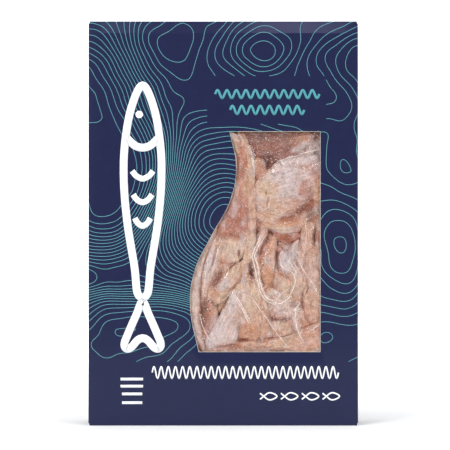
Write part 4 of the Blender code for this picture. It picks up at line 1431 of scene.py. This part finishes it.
# Creases: how far they stand up, half width and the points they run through.
CREASES = [
    (0.95, 1.30, [(25.0, 113.8), (20.6, 107.3), (18.1, 100.6), (19.7, 93.4), (21.2, 85.6), (23.2, 78.2),
                  (27.3, 74.0), (32.9, 72.4)]),
    (0.55, 0.70, [(29.3, 73.1), (34.0, 72.6), (38.0, 75.1), (41.1, 80.2), (42.7, 86.1), (41.1, 90.3),
                  (37.1, 93.0)]),
    (0.30, 0.40, [(23.5, 112.0), (18.3, 103.1), (20.6, 95.2), (22.6, 87.4)]),
    (0.50, 0.45, [(36.7, 92.3), (34.0, 96.3), (33.5, 100.8), (36.2, 104.0)]),
    (0.80, 0.85, [(5.3, 79.8), (10.3, 71.3), (16.1, 59.9)]),
    (0.65, 0.46, [(16.1, 77.3), (24.8, 65.0), (30.9, 56.1), (38.5, 46.5)]),
    (0.60, 0.44, [(43.4, 98.4), (50.5, 88.3), (57.5, 76.2)]),
    (0.60, 0.50, [(45.4, 73.3), (42.7, 66.1), (44.1, 57.0), (48.7, 47.1)]),
    (0.55, 0.45, [(35.6, 157.9), (44.5, 160.5), (51.4, 162.7), (59.3, 164.4)]),
    (0.30, 0.40, [(41.5, 163.5), (47.5, 162.5), (51.4, 161.5)]),
    (0.35, 0.40, [(-2.3, 106.4), (-4.9, 97.5), (-7.4, 87.8)]),
    (0.35, 0.40, [(-8.7, 100.8), (-10.8, 88.5), (-11.7, 77.3)]),
    (0.60, 0.55, [(37.1, 99.7), (40.0, 96.3), (42.3, 92.3), (43.8, 90.1)]),
    (0.40, 0.42, [(41.6, 97.5), (45.2, 90.8)]),
    (0.30, 0.35, [(30.4, 68.4), (32.6, 76.2), (39.4, 81.8)]),
    (0.25, 0.35, [(20.8, 125.9), (26.7, 129.9), (28.7, 137.8)]),
    (0.30, 0.35, [(48.3, 55.0), (55.0, 58.3), (61.7, 63.9)]),
    (0.30, 0.35, [(-14.3, 66.1), (-11.0, 56.1), (-6.5, 48.2)]),
    (0.30, 0.35, [(2.4, 95.2), (3.1, 90.8), (0.6, 86.3)]),
    (0.30, 0.35, [(48.3, 122.1), (49.6, 112.0), (47.4, 104.2)]),
    (0.30, 0.35, [(53.9, 59.4), (54.3, 55.0), (56.4, 51.6)]),
]


def film_places(low, high, fine):
    """Places of the grid lines along one axis: close together in the fine span, and wide apart outside it."""
    stretches = ((low, fine[0], COARSE_STEP), (*fine, FINE_STEP), (fine[1], high, COARSE_STEP))
    places = [np.linspace(a, b, round((b - a) / step), endpoint=False) for a, b, step in stretches]
    return np.concatenate(places + [[high]])


def fish_front(x, z, rearmost):
    """The y of the fish's front at a place, or a given y where the fish lies further back or is missing."""
    start = Vector((x * MM, IN_FRONT * MM, z * MM))
    hits = [tree.ray_cast(start, Vector((0.0, 1.0, 0.0)))[0] for tree in trees]
    return min([hit.y / MM for hit in hits if hit] + [rearmost])


columns = film_places(bag_low.x / MM, bag_high.x / MM, FINE_X)
rows = film_places(bag_low.z / MM, bag_high.z / MM, FINE_Z)
trees = [BVHTree.FromObject(piece, bpy.context.evaluated_depsgraph_get()) for piece in fish_pieces]
film = np.array([[fish_front(x, z, -0.1) for x in columns] for z in rows])
x_grid, z_grid = np.meshgrid(columns, rows)
from_edge = np.minimum(
    np.minimum(x_grid - columns[0], columns[-1] - x_grid), np.minimum(z_grid - rows[0], rows[-1] - z_grid),
)
in_seal = from_edge < SEAL
under = np.where(in_seal, 0.0, film) - FILM_CLEARANCE
film = under.copy()
for _ in range(PULL_PASSES):
    spread = film.copy()
    spread[1:-1, 1:-1] = (film[:-2, 1:-1] + film[2:, 1:-1] + film[1:-1, :-2] + film[1:-1, 2:]) / 4
    film = np.where(in_seal, -FILM_CLEARANCE, np.minimum(spread + FILM_PULL, under))
print(f"film: {film.size} points, front at {film.min():.2f} mm")

# %% [markdown]
# Where a piece lies deeper than the film, little light comes in, so the flesh there is painted darker and
# browner, as painted shade. The distance from each point to the film says how much.

# %% Painted shade in pockets
POCKET_STARTS, POCKET_FULL = 0.4, 2.4  # mm behind the film
POCKET_SHADE_LOSS = (0.13, 0.32, 0.44)  # of red, green and blue, for each mm


def film_level(x, z):
    """The film's y, in mm, at places given in mm."""
    column = np.clip(np.interp(x, columns, np.arange(len(columns))), 0, len(columns) - 1.001)
    row = np.clip(np.interp(z, rows, np.arange(len(rows))), 0, len(rows) - 1.001)
    left, low = column.astype(int), row.astype(int)
    u, v = column - left, row - low
    return ((1 - u) * (1 - v) * film[low, left] + u * (1 - v) * film[low, left + 1]
            + (1 - u) * v * film[low + 1, left] + u * v * film[low + 1, left + 1])


for piece in fish_pieces:
    places, colours = points_of(piece) / MM, np.empty(len(piece.data.vertices) * 4)
    piece.data.attributes["flesh"].data.foreach_get("color", colours)
    colours = colours.reshape(-1, 4)
    below = np.clip(places[:, 1] - film_level(places[:, 0], places[:, 2]) - POCKET_STARTS, 0.0, POCKET_FULL)
    colours[:, :3] *= np.exp(-np.outer(below, POCKET_SHADE_LOSS))
    piece.data.attributes["flesh"].data.foreach_set("color", colours.ravel())

# %% [markdown]
# Coarse salt still clings to the flesh where the film doesn't press on it. Grains are scattered by chance
# over the window, and each one that finds room between the fish and the film becomes a small turned cube.

# %% Grains of salt
SALT_TRIES = 1700
SALT_X, SALT_Z = (-20.0, 58.0), (43.0, 175.0)
SALT_BEDS = (  # x, z and reach of the crusted places, in mm
    (34.0, 168.0, 30.0, 7.0), (-9.0, 62.0, 6.0, 14.0), (20.0, 92.0, 5.0, 8.0),
)
GRAIN_SIZE, SMALLER = (0.2, 0.6), 0.8  # mm, and a share for grains where there is no crust
LEFT_OUT = 0.75  # share of the grains that are left out where there is no crust
ROOM_NEEDED, SUNK = 0.8, 0.15  # shares of a grain's size


def salt_grains(name):
    """Small cubes of salt lying on the fish, in the room that the film leaves."""
    bm = bmesh.new()
    random = np.random.default_rng(8)
    for _ in range(SALT_TRIES):
        x, z = random.uniform(*SALT_X), random.uniform(*SALT_Z)
        crusted = any(abs(x - bed[0]) < bed[2] and abs(z - bed[1]) < bed[3] for bed in SALT_BEDS)
        size = random.uniform(*GRAIN_SIZE) * (1.0 if crusted else SMALLER)
        turns = random.uniform(0.0, math.tau, 3)
        if not crusted and random.random() < LEFT_OUT:
            continue
        depth = fish_front(x, z, 0.0)
        if depth - film_level(np.array([x]), np.array([z]))[0] < ROOM_NEEDED * size:
            continue
        made = bmesh.ops.create_cube(bm, size=size * MM)["verts"]
        for axis, turn in zip("XYZ", turns):
            bmesh.ops.rotate(bm, cent=(0, 0, 0), matrix=Matrix.Rotation(turn, 3, axis), verts=made)
        bmesh.ops.translate(bm, vec=(x * MM, (depth - SUNK * size) * MM, z * MM), verts=made)
    bmesh.ops.recalc_face_normals(bm, faces=bm.faces)
    return piece_from(bm, name, [salt_crystal("coarse salt crystals")])


def salt_crystal(name):
    """Salt: white and clear, with a hard glint."""
    material, shader = new_material(name)
    set_inputs(material, shader, {
        "Base Color": linear("#EFE6E2"), "Roughness": 0.2, "Specular IOR Level": 0.5,
        "Subsurface Weight": 0.4, "Subsurface Radius": (1.0, 0.9, 0.85), "Subsurface Scale": 0.5 * MM,
    })
    return material


salt = salt_grains("salt_grains")
fish_pieces.append(salt)
print(f"salt: {len(salt.data.polygons) // 6} grains")

# %% [markdown]
# The creases are raised on the grid along their lines. A narrow one is a single ridge, and a broad one is a
# folded loop with two bright rails. Fine wrinkles in two directions cover the rest of the film.

# %% Creases of the film
BROAD_CREASE = 0.7  # mm of half width
RAIL_PLACE, RAIL_HALF, BETWEEN_RAILS = 0.62, 0.42, 0.6  # shares of the crease's half width, and of its height
ACROSS = np.array([[0.8, 0.6, 0], [-0.6, 0.8, 0], [0, 0, 1]])  # turns the other wrinkles by 37 degrees
flat = np.stack([x_grid.ravel(), z_grid.ravel(), np.zeros(film.size)], axis=1)
creased = np.zeros(film.size)
swell = np.clip(0.75 + 0.9 * turbulence(flat, 2.6, 31), 0.1, 1.2)
for height, width, points in CREASES:
    nearest, share = along_line(flat[:, 0], flat[:, 1], points)
    fade = np.clip(12.0 * share * (1.0 - share), 0.0, 1.0) * swell
    profile = np.exp(-(nearest / width) ** 2)
    if width > BROAD_CREASE:
        rails = np.exp(-((nearest - RAIL_PLACE * width) / (RAIL_HALF * width)) ** 2)
        profile = np.maximum(BETWEEN_RAILS * profile, rails)
    creased = np.maximum(creased, height * fade * profile)
wrinkle = (1.0 - np.abs(turbulence(flat, (5.0, 9.0, 1.0), 33))) ** 9 * 0.13
wrinkle += (1.0 - np.abs(turbulence(flat @ ACROSS, (3.5, 10.0, 1.0), 35))) ** 10 * 0.12
film = film - (creased + wrinkle).reshape(film.shape) * np.clip(from_edge / SEAL, 0.0, 1.0)

# %% [markdown]
# The bag is two sheets with the same grid, the front one creased and the back one plain. Their outer points
# meet, so merging them joins the sheets all round, as the bag's seal does.

# %% The film itself
BACK_ROUND = 16.0  # mm over which the back rounds off at the seal
BACK_ROOM = 0.1  # mm between the back and the carton's inside


def film_sheet(bm, heights):
    """Adds one sheet of film to a bmesh, as a grid at the given y, in mm."""
    segments = {"x_segments": len(columns) - 1, "y_segments": len(rows) - 1}
    for vert in bmesh.ops.create_grid(bm, size=1.0, **segments)["verts"]:
        column = round((vert.co.x + 1.0) / 2.0 * (len(columns) - 1))
        row = round((vert.co.y + 1.0) / 2.0 * (len(rows) - 1))
        vert.co = (columns[column] * MM, heights[row, column] * MM, rows[row] * MM)


edge = from_edge < 1e-6
body = np.clip(1.0 - (1.0 - np.clip((from_edge - SEAL) / BACK_ROUND, 0.0, 1.0)) ** 2, 0.0, 1.0)
back = FILM_CLEARANCE + (bag_high.y / MM - BACK_ROOM - FILM_CLEARANCE) * body ** 0.6
film_mesh = bmesh.new()
film_sheet(film_mesh, np.where(edge, 0.0, film))
film_sheet(film_mesh, np.where(edge, 0.0, back))
bmesh.ops.remove_doubles(film_mesh, verts=film_mesh.verts, dist=0.001 * MM)
bmesh.ops.recalc_face_normals(film_mesh, faces=film_mesh.faces)
print(f"both sheets: {len(film_mesh.faces)} faces, back at {back.max():.2f} mm")

# %% [markdown]
# Film is seen through all over, so a clear shader stands for most of it. A wet gloss is mixed in that grows
# towards grazing views, and white haze lies where the creases gather, as each point keeps how much it has:
# partly the whitening of folded film, and partly a painted highlight along the creases.

# %% Material of the film
CREASE_HAZE_AND_HIGHLIGHT = 0.5  # share of white haze for each mm that a crease stands up
MOST_HAZE_AND_HIGHLIGHT = 0.6


def clear_film(name):
    """Clear polyethylene vacuum film: seen through all over, with a sharp wet gloss."""
    material, _ = new_material(name)
    nodes = material.node_tree
    clear = add_node(material, "ShaderNodeBsdfTransparent", {"Color": (0.997, 0.995, 0.993, 1.0)})
    place = add_node(material, "ShaderNodeTexCoord").outputs["Object"]
    fine = add_node(material, "ShaderNodeTexNoise", {
        "Vector": place, "Scale": per_mm(0.5), "Detail": 3.0,  # puckers 2 mm apart
    })
    bump = add_node(material, "ShaderNodeBump", {
        "Height": fine.outputs["Fac"], "Strength": 0.4, "Distance": 0.5 * MM,
    })
    gloss = add_node(material, "ShaderNodeBsdfGlossy", {
        "Color": (1.0, 1.0, 1.0, 1.0), "Roughness": 0.11, "Normal": bump.outputs["Normal"],
    })
    facing = add_node(material, "ShaderNodeLayerWeight", {"Blend": 0.5, "Normal": bump.outputs["Normal"]})
    steep = add_node(material, "ShaderNodeMath", {0: facing.outputs["Facing"], 1: 5.0}, operation="POWER")
    share = add_node(material, "ShaderNodeMapRange", {
        "Value": steep.outputs["Value"], "To Min": 0.045, "To Max": 0.9,
    })
    glossy = add_node(material, "ShaderNodeMixShader", {
        "Fac": share.outputs["Result"], 1: clear.outputs["BSDF"], 2: gloss.outputs["BSDF"],
    })
    # The white haze where creases gather is partly the whitening of folded film and partly a painted
    # highlight.
    haze_and_highlight = add_node(material, "ShaderNodeBsdfDiffuse", {"Color": linear("#FFEFE4")})
    gathered = add_node(material, "ShaderNodeAttribute", attribute_name="gather")
    mixed = add_node(material, "ShaderNodeMixShader", {
        "Fac": gathered.outputs["Fac"], 1: glossy.outputs["Shader"], 2: haze_and_highlight.outputs["BSDF"],
    })
    nodes.links.new(mixed.outputs["Shader"], nodes.nodes["Material Output"].inputs["Surface"])
    nodes.nodes.remove(nodes.nodes["Principled BSDF"])
    return material


film_material = clear_film("clear polyethylene vacuum film")
vacuum_film = piece_from(film_mesh, "vacuum_film", [film_material])
vacuum_film.data.shade_smooth()
places = points_of(vacuum_film) / MM
column = np.searchsorted(columns, places[:, 0] - 0.01)
row = np.searchsorted(rows, places[:, 2] - 0.01)
gather = np.where(places[:, 1] < 0.0, creased.reshape(film.shape)[row, column], 0.0) * CREASE_HAZE_AND_HIGHLIGHT
gathered = vacuum_film.data.attributes.new("gather", "FLOAT", "POINT")
gathered.data.foreach_set("value", np.clip(gather, 0.0, MOST_HAZE_AND_HIGHLIGHT))
print(f"vacuum film: {len(vacuum_film.data.polygons)} faces")

# %% [markdown]
# Where a crease is sharpest the film is folded double. These fold lines are thinner than the grid can show,
# so they are drawn as fine closed ribs on the film: one along a narrow crease and two along a broad one.

# %% Fold lines of the film
# Lengths are in mm.
RIB = 0.15
RIB_STEP = 0.5
RIB_RAIL = 0.6  # share of a broad crease's half width
RIB_PROUD = 0.04  # how far a rib's middle stands in front of the film
# The ribs' white haze is partly folded film and partly a painted highlight of the fold lines.
RIB_HAZE_AND_HIGHLIGHT = 0.8  # share of white haze


def fold_lines(name):
    """The fine ribs along all creases, as one piece."""
    curve = bpy.data.curves.new(name, "CURVE")
    curve.dimensions, curve.use_fill_caps = "3D", True
    curve.bevel_depth, curve.bevel_resolution = RIB * MM, 1
    for index, (height, width, points) in enumerate(CREASES):
        path = smooth_path(points, steps=12)
        length = np.concatenate([[0.0], np.cumsum(np.linalg.norm(np.diff(path, axis=0), axis=1))])
        places = np.arange(0.0, length[-1], RIB_STEP)
        path = np.stack([np.interp(places, length, path[:, k]) for k in (0, 1)], axis=1)
        along = np.gradient(path, axis=0)
        side = np.stack([-along[:, 1], along[:, 0]], axis=1) / np.linalg.norm(along, axis=1, keepdims=True)
        for offset in ((-RIB_RAIL * width, RIB_RAIL * width) if width > BROAD_CREASE else (0.0,)):
            line = path + side * offset
            wander = turbulence(np.column_stack([line, np.full(len(line), offset)]), 3.5, 41 + index)
            line = line + side * 0.42 * wander[:, None]
            swell = turbulence(np.column_stack([line, np.zeros(len(line))]), 2.4, 71 + index)
            ends = np.clip(8.0 * places / length[-1] * (1.0 - places / length[-1]), 0.05, 1.0)
            sizes = ends * np.clip(0.95 + 0.85 * swell, 0.25, 1.6)
            front = film_level(line[:, 0], line[:, 1]) - RIB_PROUD
            spline = curve.splines.new("POLY")
            spline.points.add(len(line) - 1)
            for point, (x, z), y, size in zip(spline.points, line, front, sizes):
                point.co = (x * MM, y * MM, z * MM, 1.0)
                point.radius = size * min(1.15, 0.55 + height)
    return piece_from(cleaned(mesh_of(curve), 0.0001 * MM), name, [film_material])


film_folds = fold_lines("film_fold_lines")
film_folds.data.shade_smooth()
gathered = film_folds.data.attributes.new("gather", "FLOAT", "POINT")
gathered.data.foreach_set("value", np.full(len(film_folds.data.vertices), RIB_HAZE_AND_HIGHLIGHT))
print(f"fold lines: {len(film_folds.data.polygons)} faces")

# %% [markdown]
# ## Stage, light and camera
# The pack stands on a white sweep. The camera looks at it level and flat on, from far enough that its sides
# don't show, and the frame is a little off the pack's middle, as in the photograph.

# %% Stage
# The sweep, in metres: half its width and depth, how far back it lies, its height and its bend.
SWEEP_HALF, SWEEP_BACK, SWEEP_HEIGHT, SWEEP_BEND = (0.8, 1.1), 0.5, 2.4, 0.5
NEAR_BACK = 1.5  # only the sweep's back edge lies behind this


def matte_white(name):
    """White paper without any shine."""
    material, shader = new_material(name)
    set_inputs(material, shader, {
        "Base Color": linear("#F6F6F6"), "Roughness": 0.9, "Specular IOR Level": 0.1,
    })
    return material


bm = bmesh.new()
bmesh.ops.create_grid(bm, x_segments=1, y_segments=1, size=1.0)
bmesh.ops.scale(bm, vec=(*SWEEP_HALF, 1.0), verts=bm.verts)
bmesh.ops.translate(bm, vec=(0.0, SWEEP_BACK, 0.0), verts=bm.verts)
far_edge = [edge for edge in bm.edges if all(vert.co.y > NEAR_BACK for vert in edge.verts)]
wall = bmesh.ops.extrude_edge_only(bm, edges=far_edge)["geom"]
bmesh.ops.translate(bm, vec=(0.0, 0.0, SWEEP_HEIGHT), verts=verts_in(wall))
corner = [edge for edge in bm.edges if all(abs(v.co.z) < 1e-6 and v.co.y > NEAR_BACK for v in edge.verts)]
bmesh.ops.bevel(bm, geom=corner, offset=SWEEP_BEND, segments=16, profile=0.5, affect="EDGES", material=-1)
sweep = piece_from(bm, "white_sweep", [matte_white("matte white studio paper")])
sweep.data.shade_smooth()

# %% [markdown]
# Two soft lamps stand beside the camera and one hangs over the pack, and a fourth lights the sweep to white.
# All are rectangles, as softboxes are, so that the film mirrors them as broad soft patches.

# %% Lights
def softbox(name, place, target, width, height, power, colour="#FFFFFF"):
    """A rectangular lamp turned to its target, with places and sizes in metres and its power in watts."""
    light = bpy.data.lights.new(name, "AREA")
    light.shape, light.size, light.size_y = "RECTANGLE", width, height
    light.energy, light.color = power, linear(colour)[:3]
    lamp = bpy.data.objects.new(name, light)
    bpy.context.scene.collection.objects.link(lamp)
    lamp.location = place
    lamp.rotation_euler = (Vector(target) - Vector(place)).to_track_quat("-Z", "Y").to_euler()


MIDDLE = Vector((0.0, 0.0, HEIGHT / 2))
softbox("left_softbox", (-0.75, -0.75, 0.55), MIDDLE, 0.5, 0.7, 7.0)
softbox("right_softbox", (0.8, -0.65, 0.35), MIDDLE, 0.4, 0.7, 4.0)
softbox("top_softbox", (0.0, -0.15, 1.1), MIDDLE, 1.0, 0.6, 7.0)
softbox("sweep_light", (0.0, 0.4, 0.9), (0.0, 1.6, 0.35), 1.6, 0.5, 30.0)
# Three small cards, mirrored only by the leaning shoulder at the top, leave the sheen there.
SHOULDER_FRONT = (0.0, carton_low.y, HEIGHT)
softbox("right_card", (0.081, -0.93, 0.684), SHOULDER_FRONT, 0.090, 0.09, 0.21, "#E9E2FF")
softbox("edge_card", (0.143, -0.93, 0.684), SHOULDER_FRONT, 0.036, 0.09, 0.05, "#DDE6FF")
softbox("left_card", (-0.146, -0.93, 0.684), SHOULDER_FRONT, 0.036, 0.09, 0.075, "#DDF0FF")

ROOM_LIGHT, BACKDROP = 0.4, 1.15  # strength of the room on the pack, and as the camera sees it
world = bpy.data.worlds.new("studio_room")
bpy.context.scene.world = world
world.use_nodes = True
room = world.node_tree.nodes["Background"]
room.inputs["Color"].default_value = linear("#F2F4F8")
looked_at = world.node_tree.nodes.new("ShaderNodeLightPath").outputs["Is Camera Ray"]
strength = world.node_tree.nodes.new("ShaderNodeMapRange")
strength.inputs["To Min"].default_value, strength.inputs["To Max"].default_value = ROOM_LIGHT, BACKDROP
world.node_tree.links.new(looked_at, strength.inputs["Value"])
world.node_tree.links.new(strength.outputs["Result"], room.inputs["Strength"])

# %% [markdown]
# The camera's place is worked out from the photograph: how many of its pixels the pack is wide says how wide
# the view is, and the lens says how far away that view lies.

# %% Camera
PHOTO_PIXELS = 450
PACK_PIXELS_WIDE = 269.87
PACK_MIDDLE_PIXEL = (223.24, 223.24)  # across and down
LENS, SENSOR = 120.0, 36.0  # mm
pixel = WIDTH / PACK_PIXELS_WIDE
view_width = PHOTO_PIXELS * pixel
camera_data = bpy.data.cameras.new("camera")
camera_data.lens, camera_data.sensor_width = LENS, SENSOR
camera_data.clip_start = 0.05
camera = bpy.data.objects.new("camera", camera_data)
bpy.context.scene.collection.objects.link(camera)
camera.location = (
    (PHOTO_PIXELS / 2 - PACK_MIDDLE_PIXEL[0]) * pixel,
    carton_low.y - view_width * LENS / SENSOR,
    HEIGHT / 2 - (PHOTO_PIXELS / 2 - PACK_MIDDLE_PIXEL[1]) * pixel,
)
camera.rotation_euler = (math.radians(90.0), 0.0, 0.0)
bpy.context.scene.camera = camera
bpy.context.scene.view_settings.view_transform = "Standard"
print(f"view {view_width / MM:.1f} mm wide, camera {-camera.location.y / MM:.0f} mm in front")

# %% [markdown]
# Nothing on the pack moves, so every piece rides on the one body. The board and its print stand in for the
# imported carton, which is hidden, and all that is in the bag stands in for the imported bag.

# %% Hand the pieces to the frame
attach(carton, "root")
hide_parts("carton")
for piece in ink_pieces:
    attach(piece, "root")
for piece in fish_pieces + [vacuum_film, film_folds]:
    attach(piece, "root")
    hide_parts("vacuum_bag")
